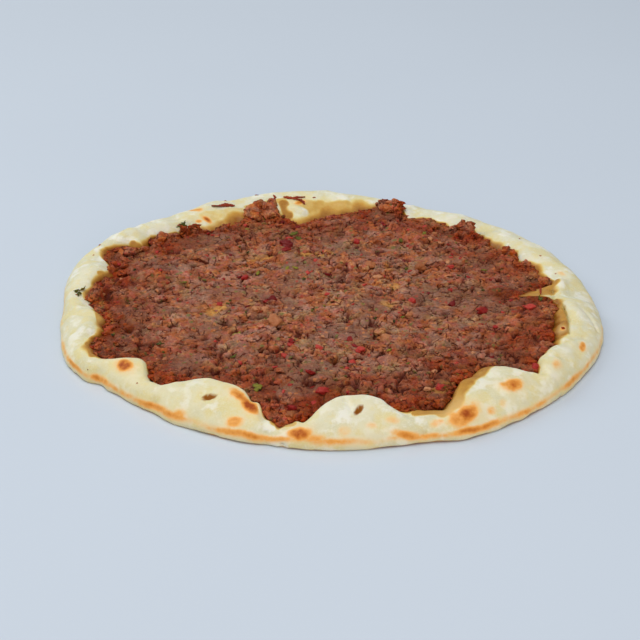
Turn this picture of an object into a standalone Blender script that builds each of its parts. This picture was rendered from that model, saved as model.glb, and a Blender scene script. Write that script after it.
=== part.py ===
"""Lahmacun: a thin round flatbread, its rim puffed and folded inwards, spread with minced meat.

Run with: blender --background --python part.py
Metres, +Z up. The bread lies on its flat underside and the origin is the middle of that face.
Directions are degrees anticlockwise from +X, and -Y is the side that faces the diner.
"""

import math

import bmesh
import bpy
import numpy as np
from mathutils import Matrix, Vector, noise

MM = 0.001

# The bread's outline: a mean radius, the few waves that stretch it, and where the hand left
# a corner (+) or a flat (-).
MEAN_RADIUS = 125.7 * MM
OUTLINE_WAVES = (  # waves a turn, amplitude, direction of a crest
    (1, 1.9 * MM, 113),
    (2, 4.1 * MM, 153),
    (3, 1.0 * MM, -29),
    (5, 0.7 * MM, 26),
    (6, 1.1 * MM, -27),
    (7, 0.8 * MM, 0),
)
EDGE_CORNERS = (  # direction, half spread, how far out
    (26, 15, 1.5 * MM),
    (51, 7, 2.6 * MM),
    (67.5, 5, 1.8 * MM),
    (79.5, 9, 4.2 * MM),
    (106, 9, -0.8 * MM),
    (120, 10, 1.6 * MM),
    (121.5, 5, 1.8 * MM),
    (149, 8, 1.6 * MM),
    (161, 12, 1.7 * MM),
    (180, 9, -1.4 * MM),
    (205, 10, 1.2 * MM),
    (229, 8, -1.8 * MM),
    (241, 9, 1.8 * MM),
)
# Where only the lower edge lies further out (+) or in (-), and not the rim's crest above it.
EDGE_TRIMS = (  # direction, half spread, how far out
    (214.6, 3, -2.0 * MM),
    (219.5, 9.5, -3.4 * MM),
    (240, 6, -1.5 * MM),
    (250.5, 5, 1.0 * MM),
    (257.5, 2.5, -1.0 * MM),
    (295.5, 8, 2.0 * MM),
    (322, 22, -3.2 * MM),
)

# The dough's section, from the underside round the lip to the rim's top and down to the floor.
LIP_ROUND = 5.0 * MM  # how far in from the edge the underside lifts off the table
LIP_HEIGHT = 2.8 * MM  # height of the outermost edge
FLOOR = 3.6 * MM  # thickness of the bread under the meat
PLAIN_REACH = 7.5 * MM  # edge to crest where nothing is folded
PLAIN_HEIGHT = 9.2 * MM  # crest height where nothing is folded
PLAIN_RUN = 4.5 * MM  # crest to foot on a puffed inner face
WIDE_RUN = 24.0 * MM  # crest to foot where the inner face is a long slope

# The folds and pinches of the rim: name, direction, half spread, squareness, and how much
# further in and higher than the plain rim its crest lies (less at a pinch).
FOLDS = (
    ("right", 352, 18, 4.0, 9.0 * MM, 2.0 * MM),
    ("tongue", 1.5, 6, 2.0, 10.0 * MM, -2.0 * MM),
    ("right_back", 30, 16, 4.0, 8.5 * MM, 2.0 * MM),
    ("far_right", 51, 8, 2.0, 8.0 * MM, 0.5 * MM),
    ("back_dip", 66, 14, 2.0, 3.5 * MM, -0.6 * MM),
    ("far_back", 80, 10, 2.0, 6.0 * MM, 1.2 * MM),
    ("back", 98, 18, 3.0, 4.0 * MM, 3.0 * MM),
    ("far_left", 127, 15, 3.0, 7.0 * MM, 3.0 * MM),
    ("left_back", 145, 12, 2.5, 5.0 * MM, 3.6 * MM),
    ("left_pocket", 157, 5, 2.0, -1.5 * MM, 0.8 * MM),
    ("left_tip", 168, 7, 2.5, 6.5 * MM, 2.4 * MM),
    ("left_notch", 180, 6, 2.0, -3.0 * MM, -0.5 * MM),
    ("left", 194.5, 10, 4.0, 6.8 * MM, 2.4 * MM),
    ("left_nick", 206.5, 5, 2.0, -2.0 * MM, 0.0 * MM),
    ("front_left", 218.5, 8, 2.0, 10.0 * MM, 2.8 * MM),
    ("front_big", 242.5, 13.5, 3.0, 14.5 * MM, 3.8 * MM),
    ("crease", 260, 7, 2.0, 0.0 * MM, -2.6 * MM),
    ("front", 275.5, 12, 3.0, 13.5 * MM, 3.6 * MM),
    ("front_dip", 290, 7, 2.0, 3.0 * MM, -0.5 * MM),
    ("front_right", 308, 13.5, 4.0, 16.0 * MM, 3.2 * MM),
    ("right_front", 328.5, 11, 2.5, 9.0 * MM, 2.2 * MM),
)

# Where the inner face runs down as a long slope: direction, half spread, share of WIDE_RUN.
SLOPES = (
    (92, 31, 1.0),
    (127, 14, 0.75),
    (299, 8, 0.25),
    (350, 14, 0.2),
)

# The meat: its level, the thickness of its rounded edge, and how unevenly it is spread.
MEAT_LEVEL = 8.4 * MM
MEAT_EDGE = 2.2 * MM
MEAT_ROUNDING = 24  # the higher, the closer to its edge the meat starts to fall
MEAT_SWELLS = ((31 * MM, 1.8 * MM), (17 * MM, 1.0 * MM))  # length and height of a swell
REST_GAP = 0.6 * MM  # clearance between bodies that touch

# Clumps of meat that lie loose on the rim or by it: direction, distance from the middle, length,
# width, height, and the turn of the length away from the rim's run.
CLUMPS = {
    "clump_back": (107.0, 101.5 * MM, 17.5 * MM, 19.0 * MM, 6.0 * MM, 0),
    "crumb_back": (71.5, 107.0 * MM, 11.5 * MM, 9.0 * MM, 6.5 * MM, 8),
    "crumb_back_right": (46.5, 102.5 * MM, 9.0 * MM, 6.5 * MM, 6.0 * MM, 25),
    "crumb_right": (25.5, 101.0 * MM, 9.5 * MM, 4.5 * MM, 4.0 * MM, -10),
    "crumb_back_left": (135.5, 103.0 * MM, 8.5 * MM, 7.0 * MM, 5.5 * MM, 0),
}
CLUMP_SINK = 0.2  # share of a clump's height that is pressed flat below
CLUMP_LUMPS = 0.28  # how far its knobs stand out, as a share of its size
CLUMP_CLEARANCE = 1.2 * MM  # how far round each point a clump clears what it lies on

# Meshing: stations round the bread, points along each stretch of a section, and the meat's
# rings as shares of its reach.
STATIONS = 144
LIP_STEPS = 2
OUTER_STEPS = 5
INNER_STEPS = 5
MEAT_RINGS = (1, 0.985, 0.95, 0.89, 0.81, 0.72, 0.62, 0.51, 0.4, 0.3, 0.2, 0.1, 0)


def fall(direction, centre, spread, squareness=2.0):
    """1 at a fold's own direction, falling smoothly to 0 at its half spread."""
    away = np.abs((direction - centre + 180) % 360 - 180) / spread
    return np.where(away < 1, (1 - np.minimum(away, 1) ** squareness) ** 2, 0.0)


def untrimmed_radius(direction):
    """The radius in a direction that the rim's folds are measured in from."""
    radius = MEAN_RADIUS
    for order, height, crest in OUTLINE_WAVES:
        radius = radius + height * np.cos(np.radians(order * (direction - crest)))
    for centre, spread, out in EDGE_CORNERS:
        radius = radius + out * fall(direction, centre, spread)
    return radius


def outline_radius(direction):
    """The bread's outermost radius in a direction."""
    radius = untrimmed_radius(direction)
    for centre, spread, out in EDGE_TRIMS:
        radius = radius + out * fall(direction, centre, spread)
    return radius


def rim(direction):
    """Edge radius, crest radius, foot radius, crest height and slope share in a direction."""
    reach = PLAIN_REACH
    height = PLAIN_HEIGHT
    for _, centre, spread, squareness, further, higher in FOLDS:
        share = fall(direction, centre, spread, squareness)
        reach = reach + further * share
        height = height + higher * share
    slope = 0.0
    for centre, spread, share in SLOPES:
        slope = np.maximum(slope, share * fall(direction, centre, spread))
    crest = untrimmed_radius(direction) - reach
    foot = crest - PLAIN_RUN - (WIDE_RUN - PLAIN_RUN) * slope
    return outline_radius(direction), crest, foot, height, slope


def top_section(direction):
    """Radii and heights along the dough's upper side in a direction, from the axis to its edge."""
    edge, crest, foot, height, slope = rim(direction)
    radii = [0.0, 0.45 * foot, foot]
    heights = [FLOOR, FLOOR, FLOOR]
    for step in range(INNER_STEPS - 1, -1, -1):
        turn = 0.5 * math.pi * step / INNER_STEPS
        along = math.sin(turn)
        puffed = math.cos(turn)
        sloped = 1 - along * along * (3 - 2 * along)
        radii.append(crest - (crest - foot) * along)
        heights.append(FLOOR + (height - FLOOR) * (puffed + (sloped - puffed) * slope))
    for step in range(1, OUTER_STEPS + 1):
        turn = 0.5 * math.pi * step / OUTER_STEPS
        radii.append(crest + (edge - crest) * math.sin(turn) ** 1.1)
        heights.append(LIP_HEIGHT + (height - LIP_HEIGHT) * math.cos(turn) ** 1.1)
    return radii, heights


def lip_section(direction):
    """Radii and heights from the dough's edge under the lip to the flat underside and its axis."""
    edge = outline_radius(direction)
    radii, heights = [], []
    for step in range(1, LIP_STEPS + 1):
        turn = 0.5 * math.pi * step / (LIP_STEPS + 1)
        radii.append(edge - LIP_ROUND * (1 - math.cos(turn)))
        heights.append(LIP_HEIGHT * (1 - math.sin(turn)))
    radii += [edge - LIP_ROUND, 0.0]
    heights += [0.0, 0.0]
    return radii, heights


def meat_reach(direction):
    """Radius of the meat's edge in a direction."""
    return rim(direction)[2] - REST_GAP


def meat_height(direction, radius):
    """Height of the meat's upper side."""
    turned = math.radians(direction)
    x, y = radius * math.cos(turned), radius * math.sin(turned)
    swell = sum(
        high * noise.noise(Vector((x / length, y / length, 0)))
        for length, high in MEAT_SWELLS
    )
    share = radius / meat_reach(direction)
    fallen = (MEAT_LEVEL - FLOOR - REST_GAP - MEAT_EDGE) * share**MEAT_ROUNDING
    return MEAT_LEVEL + swell - fallen


def meat_section(direction):
    """Radii and heights round the meat, from the axis below, out to its edge and back on top."""
    edge = meat_reach(direction)
    radii = [0.0, 0.45 * edge, edge]
    heights = [FLOOR + REST_GAP] * 3
    for share in MEAT_RINGS:
        radii.append(edge * share)
        heights.append(meat_height(direction, edge * share))
    return radii, heights


def top_height(x, y):
    """Height of the bread or, where there is meat, of the meat at a point."""
    direction = math.degrees(math.atan2(y, x)) % 360
    radius = math.hypot(x, y)
    if radius < meat_reach(direction):
        return meat_height(direction, radius)
    return float(np.interp(radius, *top_section(direction)))


def lofted(name, section, centre):
    """A closed body lofted through sections that stand round the axis, one at each station."""
    body = bmesh.new()
    rings = []
    for station in range(STATIONS):
        direction = 360 * station / STATIONS
        radii, heights = section(direction)
        turned = math.radians(direction)
        ring = []
        for number, (radius, height) in enumerate(zip(radii, heights)):
            if rings and radius == 0:
                ring.append(rings[0][number])
                continue
            ring.append(body.verts.new((
                radius * math.cos(turned) - centre[0],
                radius * math.sin(turned) - centre[1],
                height,
            )))
        rings.append(ring)
    for station, ring in enumerate(rings):
        following = rings[(station + 1) % STATIONS]
        for low in range(len(ring) - 1):
            corners = (ring[low], following[low], following[low + 1], ring[low + 1])
            body.faces.new(dict.fromkeys(corners))
    bmesh.ops.remove_doubles(body, verts=body.verts, dist=0.01 * MM)
    bmesh.ops.recalc_face_normals(body, faces=body.faces)
    return placed(name, body)


def clump(name, centre):
    """A knobbly clump of meat, pressed flat below along whatever it lies on."""
    direction, distance, length, width, height, turn = CLUMPS[name]
    along = math.radians(direction + 90 + turn)
    middle = Vector((
        distance * math.cos(math.radians(direction)),
        distance * math.sin(math.radians(direction)),
        0,
    ))
    nearby = [(0, 0)]
    nearby += [
        (CLUMP_CLEARANCE * math.cos(math.radians(way)), CLUMP_CLEARANCE * math.sin(math.radians(way)))
        for way in range(0, 360, 45)
    ]
    body = bmesh.new()
    bmesh.ops.create_icosphere(body, subdivisions=3, radius=0.5)
    for vertex in body.verts:
        knob = noise.noise(vertex.co * 4.3 + middle * 100)
        spot = vertex.co * (1 + CLUMP_LUMPS * knob)
        above = max(0, spot.z + 0.5 - CLUMP_SINK) * height
        spot = Vector((spot.x * length, spot.y * width, 0))
        spot.rotate(Matrix.Rotation(along, 3, "Z"))
        spot += middle
        lies_on = max(top_height(spot.x + dx, spot.y + dy) for dx, dy in nearby)
        vertex.co = (spot.x - centre[0], spot.y - centre[1], lies_on + REST_GAP + above)
    return placed(name, body)


def placed(name, body):
    """The finished object of a bmesh, smooth but for its sharp turns."""
    mesh = bpy.data.meshes.new(name)
    body.to_mesh(mesh)
    body.free()
    mesh.shade_smooth()
    mesh.set_sharp_from_angle(angle=math.radians(50))
    thing = bpy.data.objects.new(name, mesh)
    return thing


def finish(name, colour, roughness):
    """A plain matt material."""
    material = bpy.data.materials.new(name)
    material.use_nodes = True
    shader = material.node_tree.nodes["Principled BSDF"]
    shader.inputs["Base Color"].default_value = (*colour, 1)
    shader.inputs["Roughness"].default_value = roughness
    shader.inputs["Metallic"].default_value = 0
    return material


def dough_section(direction):
    """The dough's whole section, from the underside's middle out and back over the top."""
    under, over = lip_section(direction), top_section(direction)
    return under[0][::-1] + over[0][::-1], under[1][::-1] + over[1][::-1]


def outline_middle():
    """Middle of the bread's outline, measured along X and Y."""
    direction = np.linspace(0, 360, STATIONS, endpoint=False)
    radius = outline_radius(direction)
    x = radius * np.cos(np.radians(direction))
    y = radius * np.sin(np.radians(direction))
    return (x.min() + x.max()) / 2, (y.min() + y.max()) / 2


def main():
    for thing in list(bpy.data.objects):
        bpy.data.objects.remove(thing)
    kept = bpy.data.collections.new("lahmacun")
    bpy.context.scene.collection.children.link(kept)
    centre = outline_middle()
    dough = lofted("dough", dough_section, centre)
    dough.data.materials.append(finish("baked_dough", (0.86, 0.80, 0.58), 0.55))
    meat = lofted("meat_topping", meat_section, centre)
    minced = finish("minced_meat", (0.22, 0.09, 0.055), 0.5)
    clumps = [clump(name, centre) for name in CLUMPS]
    for thing in (meat, *clumps):
        thing.data.materials.append(minced)
    for thing in (dough, meat, *clumps):
        kept.objects.link(thing)


main()
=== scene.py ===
"""Lahmacun: a thin round flatbread, its rim puffed and folded inwards, baked with minced meat.

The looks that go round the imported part. Metres, +Z up, and -Y faces the diner. Directions are
degrees anticlockwise from +X, and distances are measured from the middle that the baker rolled
the bread out from, which lies a little off the middle of its outline.
"""

import math
from itertools import product

import bmesh
import bpy
import numpy as np
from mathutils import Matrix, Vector, noise


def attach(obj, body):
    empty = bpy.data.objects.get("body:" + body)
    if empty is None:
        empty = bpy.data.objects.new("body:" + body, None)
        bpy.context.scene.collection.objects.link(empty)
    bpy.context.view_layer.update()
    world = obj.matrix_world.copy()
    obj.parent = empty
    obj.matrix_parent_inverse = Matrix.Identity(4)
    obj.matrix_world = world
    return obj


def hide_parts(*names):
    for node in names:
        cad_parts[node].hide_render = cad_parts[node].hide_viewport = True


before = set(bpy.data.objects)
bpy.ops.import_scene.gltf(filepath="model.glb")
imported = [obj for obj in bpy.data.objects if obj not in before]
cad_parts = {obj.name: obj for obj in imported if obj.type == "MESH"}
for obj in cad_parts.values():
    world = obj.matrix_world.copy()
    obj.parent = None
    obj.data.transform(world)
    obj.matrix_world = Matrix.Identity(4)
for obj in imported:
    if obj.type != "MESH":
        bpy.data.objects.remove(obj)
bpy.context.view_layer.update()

MM = 0.001

# ---------------------------------------------------------------- the bread's shape, as packed
# Only its lip is sharper here than the solid's.

MEAN_RADIUS = 125.7 * MM
OUTLINE_WAVES = (  # waves a turn, amplitude, direction of a crest
    (1, 1.9 * MM, 113),
    (2, 4.1 * MM, 153),
    (3, 1.0 * MM, -29),
    (5, 0.7 * MM, 26),
    (6, 1.1 * MM, -27),
    (7, 0.8 * MM, 0),
)
EDGE_CORNERS = (  # direction, half spread, how far out
    (26, 15, 1.5 * MM),
    (51, 7, 2.6 * MM),
    (67.5, 5, 1.8 * MM),
    (79.5, 9, 4.2 * MM),
    (106, 9, -0.8 * MM),
    (120, 10, 1.6 * MM),
    (121.5, 5, 1.8 * MM),
    (149, 8, 1.6 * MM),
    (161, 12, 1.7 * MM),
    (180, 9, -1.4 * MM),
    (205, 10, 1.2 * MM),
    (229, 8, -1.8 * MM),
    (241, 9, 1.8 * MM),
)
# Where only the lower edge lies further out (+) or in (-), and not the rim's crest above it.
EDGE_TRIMS = (  # direction, half spread, how far out
    (214.6, 3, -2.0 * MM),
    (219.5, 9.5, -3.4 * MM),
    (240, 6, -1.5 * MM),
    (250.5, 5, 1.0 * MM),
    (257.5, 2.5, -1.0 * MM),
    (295.5, 8, 2.0 * MM),
    (322, 22, -3.2 * MM),
)
PACKED_STATIONS = 144  # directions that the solid's outline has its corners in
LIP_ROUND = 1.5 * MM  # how far in the lip at the table is rounded, and how high
LIP_HEIGHT = 1.4 * MM
FLOOR = 3.6 * MM  # the bread's thickness under the meat
PLAIN_REACH = 7.5 * MM  # from the edge in to the rim's crest, away from the folds
PLAIN_HEIGHT = 9.2 * MM  # the crest's height, away from the folds
PLAIN_RUN = 4.5 * MM  # from the crest in to the foot of a folded inner face
WIDE_RUN = 24.0 * MM  # from the crest in to the foot of the gentlest slope
FOLDS = (  # name, direction, half spread, squareness, crest further in, crest higher
    ("right", 352, 18, 4.0, 9.0 * MM, 2.0 * MM),
    ("tongue", 1.5, 6, 2.0, 10.0 * MM, -2.0 * MM),
    ("right_back", 30, 16, 4.0, 8.5 * MM, 2.0 * MM),
    ("far_right", 51, 8, 2.0, 8.0 * MM, 0.5 * MM),
    ("back_dip", 66, 14, 2.0, 3.5 * MM, -0.6 * MM),
    ("far_back", 80, 10, 2.0, 6.0 * MM, 1.2 * MM),
    ("back", 98, 18, 3.0, 4.0 * MM, 3.0 * MM),
    ("far_left", 127, 15, 3.0, 7.0 * MM, 3.0 * MM),
    ("left_back", 145, 12, 2.5, 5.0 * MM, 3.6 * MM),
    ("left_pocket", 157, 5, 2.0, -1.5 * MM, 0.8 * MM),
    ("left_tip", 168, 7, 2.5, 6.5 * MM, 2.4 * MM),
    ("left_notch", 180, 6, 2.0, -3.0 * MM, -0.5 * MM),
    ("left", 194.5, 10, 4.0, 6.8 * MM, 2.4 * MM),
    ("left_nick", 206.5, 5, 2.0, -2.0 * MM, 0.0 * MM),
    ("front_left", 218.5, 8, 2.0, 10.0 * MM, 2.8 * MM),
    ("front_big", 242.5, 13.5, 3.0, 14.5 * MM, 3.8 * MM),
    ("crease", 260, 7, 2.0, 0.0 * MM, -2.6 * MM),
    ("front", 275.5, 12, 3.0, 13.5 * MM, 3.6 * MM),
    ("front_dip", 290, 7, 2.0, 3.0 * MM, -0.5 * MM),
    ("front_right", 308, 13.5, 4.0, 16.0 * MM, 3.2 * MM),
    ("right_front", 328.5, 11, 2.5, 9.0 * MM, 2.2 * MM),
)
LAPS = (  # where a fold laps over its neighbour: direction, half spread, crest further in, higher
    (253.8, 2.6, 4.0 * MM, 1.0 * MM),
    (262.4, 1.8, 1.8 * MM, 0.3 * MM),
    (259.3, 1.2, -2.2 * MM, -0.5 * MM),
    (288.0, 3.0, 1.5 * MM, 0.4 * MM),
)
SLOPES = (  # direction, half spread, share of the wide run
    (92, 31, 1.0),
    (127, 14, 0.75),
    (299, 8, 0.25),
    (350, 14, 0.2),
)
MEAT_LEVEL = 8.4 * MM
MEAT_SWELLS = ((31 * MM, 1.8 * MM), (17 * MM, 1.0 * MM))  # length and height of a swell


def fall(direction, centre, spread, squareness=2.0):
    """1 at a fold's own direction, falling smoothly to 0 at its half spread."""
    away = np.abs((direction - centre + 180) % 360 - 180) / spread
    return np.where(away < 1, (1 - np.minimum(away, 1) ** squareness) ** 2, 0.0)


def untrimmed_radius(direction):
    """The radius in a direction that the rim's folds are measured in from."""
    radius = MEAN_RADIUS + np.zeros_like(np.asarray(direction, float))
    for order, height, crest in OUTLINE_WAVES:
        radius = radius + height * np.cos(np.radians(order * (direction - crest)))
    for centre, spread, out in EDGE_CORNERS:
        radius = radius + out * fall(direction, centre, spread)
    return radius


def outline_radius(direction):
    """The bread's outermost radius in a direction."""
    radius = untrimmed_radius(direction)
    for centre, spread, out in EDGE_TRIMS:
        radius = radius + out * fall(direction, centre, spread)
    return radius


def rim(direction):
    """Edge radius, crest radius, foot radius, crest height and slope share in a direction."""
    reach = PLAIN_REACH
    height = PLAIN_HEIGHT
    for _, centre, spread, squareness, further, higher in FOLDS:
        share = fall(direction, centre, spread, squareness)
        reach = reach + further * share
        height = height + higher * share
    for centre, spread, further, higher in LAPS:
        share = fall(direction, centre, spread)
        reach = reach + further * share
        height = height + higher * share
    slope = 0.0
    for centre, spread, share in SLOPES:
        slope = np.maximum(slope, share * fall(direction, centre, spread))
    crest = untrimmed_radius(direction) - reach
    foot = crest - PLAIN_RUN - (WIDE_RUN - PLAIN_RUN) * slope
    return outline_radius(direction), crest, foot, height, slope


def outline_middle():
    """Middle of the bread's outline, which is where the part has its origin."""
    direction = np.linspace(0, 360, PACKED_STATIONS, endpoint=False)
    radius = outline_radius(direction)
    x = radius * np.cos(np.radians(direction))
    y = radius * np.sin(np.radians(direction))
    return np.array(((x.min() + x.max()) / 2, (y.min() + y.max()) / 2, 0.0))


MIDDLE = outline_middle()


def spot_at(direction, radius, height=0.0):
    """The point at a direction, radius and height."""
    turned = np.radians(direction)
    x, y = radius * np.cos(turned), radius * np.sin(turned)
    return np.stack(np.broadcast_arrays(x, y, height), -1) - MIDDLE


def polar(points):
    """Directions and radii of points."""
    x, y = points[..., 0] + MIDDLE[0], points[..., 1] + MIDDLE[1]
    return np.degrees(np.arctan2(y, x)) % 360, np.hypot(x, y)


# ------------------------------------------------------------------------- unevenness, in arrays

TINY = 1e-12  # the least that a length is divided by
FIRST_CELL = 400  # the cell of random numbers that the part's origin lies in
SEAM_REACH = 0.6  # how far from a seam a grain's side reaches, in grains
TOP_DOME, TOP_LEAN, TOP_LEVEL = 0.55, 0.9, 0.2  # how domed, leaning and high a grain's top is


def gentle(share):
    """A share from 0 to 1, made to start and end gently."""
    return share * share * (3 - 2 * share)


def soft_step(value, low, high):
    """0 below low, 1 above high, smooth between."""
    return gentle(np.clip((value - low) / (high - low), 0, 1))


def ripple(points, length, seed):
    """Smooth unevenness between -1 and 1, with swells about `length` long."""
    size = 32
    table = np.random.default_rng(seed).uniform(-1, 1, (size, size, size))
    place = points / length + FIRST_CELL
    cell = np.floor(place).astype(int)
    share = gentle(place - cell)
    total = np.zeros(points.shape[:-1])
    for corner in product((0, 1), repeat=3):
        weight = np.prod(np.where(corner, share, 1 - share), axis=-1)
        spot = (cell + corner) % size
        total += weight * table[spot[..., 0], spot[..., 1], spot[..., 2]]
    return total


def swells(points, table, start=0.0):
    """The sum of several ripples, each given by its height, its length and its seed."""
    return sum((height * ripple(points, length, seed) for height, length, seed in table), start)


def wandering(points, reach, length, seeds):
    """How far each point is pushed aside along each axis, `reach` at most."""
    return reach * np.stack([ripple(points, length, seed) for seed in seeds], -1)


def grains(points, length, seed):
    """Packed grains about `length` across: how far each point lies from its grain's seam, the
    height of the grain's domed and leaning top there, and the grain's own number, all 0 to 1."""
    size, layers = 64, 16
    # The numbers of a grain are the place of its middle, its own number and the way it leans.
    table = np.random.default_rng(seed).uniform(0, 1, (size, size, layers, 7))
    place = points / length + FIRST_CELL
    cell = np.floor(place).astype(int)
    nearest = np.full(len(points), np.inf)
    second = np.full(len(points), np.inf)
    number, leaning = np.zeros((2, len(points)))
    for corner in product((-1, 0, 1), repeat=3):
        spot = cell + corner
        kept = table[spot[:, 0] % size, spot[:, 1] % size, spot[:, 2] % layers]
        offset = place - spot - kept[:, :3]
        away = np.linalg.norm(offset, axis=1)
        closer = away < nearest
        second = np.where(closer, nearest, np.minimum(second, away))
        nearest = np.where(closer, away, nearest)
        number = np.where(closer, kept[:, 3], number)
        leaning = np.where(closer, np.sum(offset * (kept[:, 4:] - 0.5), axis=1), leaning)
    seam = np.clip((second - nearest) / SEAM_REACH, 0, 1)
    top = np.clip(TOP_DOME * (1 - nearest ** 2) + TOP_LEAN * leaning + TOP_LEVEL, 0, 1)
    return seam, top, number


# ------------------------------------------------------------------------- meshes, from arrays


def formed(name, points, faces, material, replaces=(), slot="meat", **marks):
    """A smooth piece from its points and lists of its faces, with marks for its material."""
    mesh = bpy.data.meshes.new(name)
    mesh.vertices.add(len(points))
    mesh.vertices.foreach_set("co", np.ascontiguousarray(points, np.float32).ravel())
    sides = np.concatenate([np.full(len(group), group.shape[1]) for group in faces])
    corners = np.concatenate([group.ravel() for group in faces]).astype(np.int32)
    mesh.loops.add(len(corners))
    mesh.loops.foreach_set("vertex_index", corners)
    mesh.polygons.add(len(sides))
    starts = np.concatenate(([0], np.cumsum(sides)[:-1])).astype(np.int32)
    mesh.polygons.foreach_set("loop_start", starts)
    mesh.update(calc_edges=True)
    mesh.validate()
    mesh.shade_smooth()
    for mark, values in marks.items():
        kept = mesh.attributes.new(mark, "FLOAT", "POINT")
        kept.data.foreach_set("value", np.ascontiguousarray(values, np.float32))
    mesh.materials.append(material)
    piece = bpy.data.objects.new(name, mesh)
    bpy.context.scene.collection.objects.link(piece)
    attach(piece, "root")
    if replaces:
        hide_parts(*replaces)
    return piece


def round_faces(rings, stations):
    """Faces of rings that stand round the axis, the first and last ring closed by one point.

    Points are numbered ring by ring, then the first closing point, then the last."""
    near = np.arange(rings * stations).reshape(rings, stations)
    far = np.roll(near, -1, axis=1)
    quads = np.stack((near[:-1], far[:-1], far[1:], near[1:]), -1).reshape(-1, 4)
    first, last = rings * stations, rings * stations + 1
    start = np.stack((np.full(stations, first), far[0], near[0]), -1)
    end = np.stack((np.full(stations, last), near[-1], far[-1]), -1)
    return [quads, start, end]


def unit(vectors):
    """Vectors made one long."""
    return vectors / np.maximum(np.linalg.norm(vectors, axis=-1, keepdims=True), TINY)


def ring_normals(rings):
    """Outward normals of the points of rings, as an array like theirs."""
    along = np.roll(rings, -1, axis=1) - np.roll(rings, 1, axis=1)
    return unit(np.cross(along, np.gradient(rings, axis=0)))


def ball(steps):
    """Points and faces of a round ball one across."""
    body = bmesh.new()
    bmesh.ops.create_icosphere(body, subdivisions=steps, radius=0.5)
    points = np.array([vertex.co[:] for vertex in body.verts])
    faces = np.array([[vertex.index for vertex in face.verts] for face in body.faces])
    body.free()
    return points, faces


# ------------------------------------------------------------------------- materials


def linear(code, alpha=1.0):
    """The linear colour of an sRGB hex code."""
    values = [int(code[start:start + 2], 16) / 255 for start in (1, 3, 5)]
    values = [v / 12.92 if v <= 0.04045 else ((v + 0.055) / 1.055) ** 2.4 for v in values]
    return (*values, alpha)


def add(tree, kind, inputs=(), stops=(), output=0, **settings):
    """Adds a node with its settings and gives one of its outputs. An input is a value, a colour
    code or another node's output, and stops are a ramp's places with their colours or greys."""
    node = tree.nodes.new("ShaderNode" + kind)
    for name, value in settings.items():
        setattr(node, name, value)
    for number, (position, colour) in enumerate(stops):
        ramp = node.color_ramp.elements
        stop = ramp[number] if number < 2 else ramp.new(position)
        stop.position = position
        stop.color = linear(colour) if isinstance(colour, str) else (colour, colour, colour, 1)
    for name, value in dict(inputs).items():
        if isinstance(value, bpy.types.NodeSocket):
            tree.links.new(value, node.inputs[name])
        else:
            node.inputs[name].default_value = linear(value) if isinstance(value, str) else value
    return node.outputs[output]


def new_material(name):
    """An empty material, its nodes, its shader and where it lies on the piece, in metres."""
    material = bpy.data.materials.new(name)
    material.use_nodes = True
    tree = material.node_tree
    place = add(tree, "TexCoord", output="Object")
    return material, tree, tree.nodes["Principled BSDF"], place


# Spots of the pale dough: how much more of them where it is raised, which of a spot's three
# numbers shows it, where and how much, and its colour. Whiter on the swells and yellower in
# their dips, they add painted light and painted shade to the dough's own spots.
DOUGH_SPOTS = (
    (-0.22, "Red", ((0.36, 0.0), (0.52, 0.6)), "#dccc86"),
    (0.22, "Green", ((0.62, 0.0), (0.76, 0.85)), "#e9e8da"),
)


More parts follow.
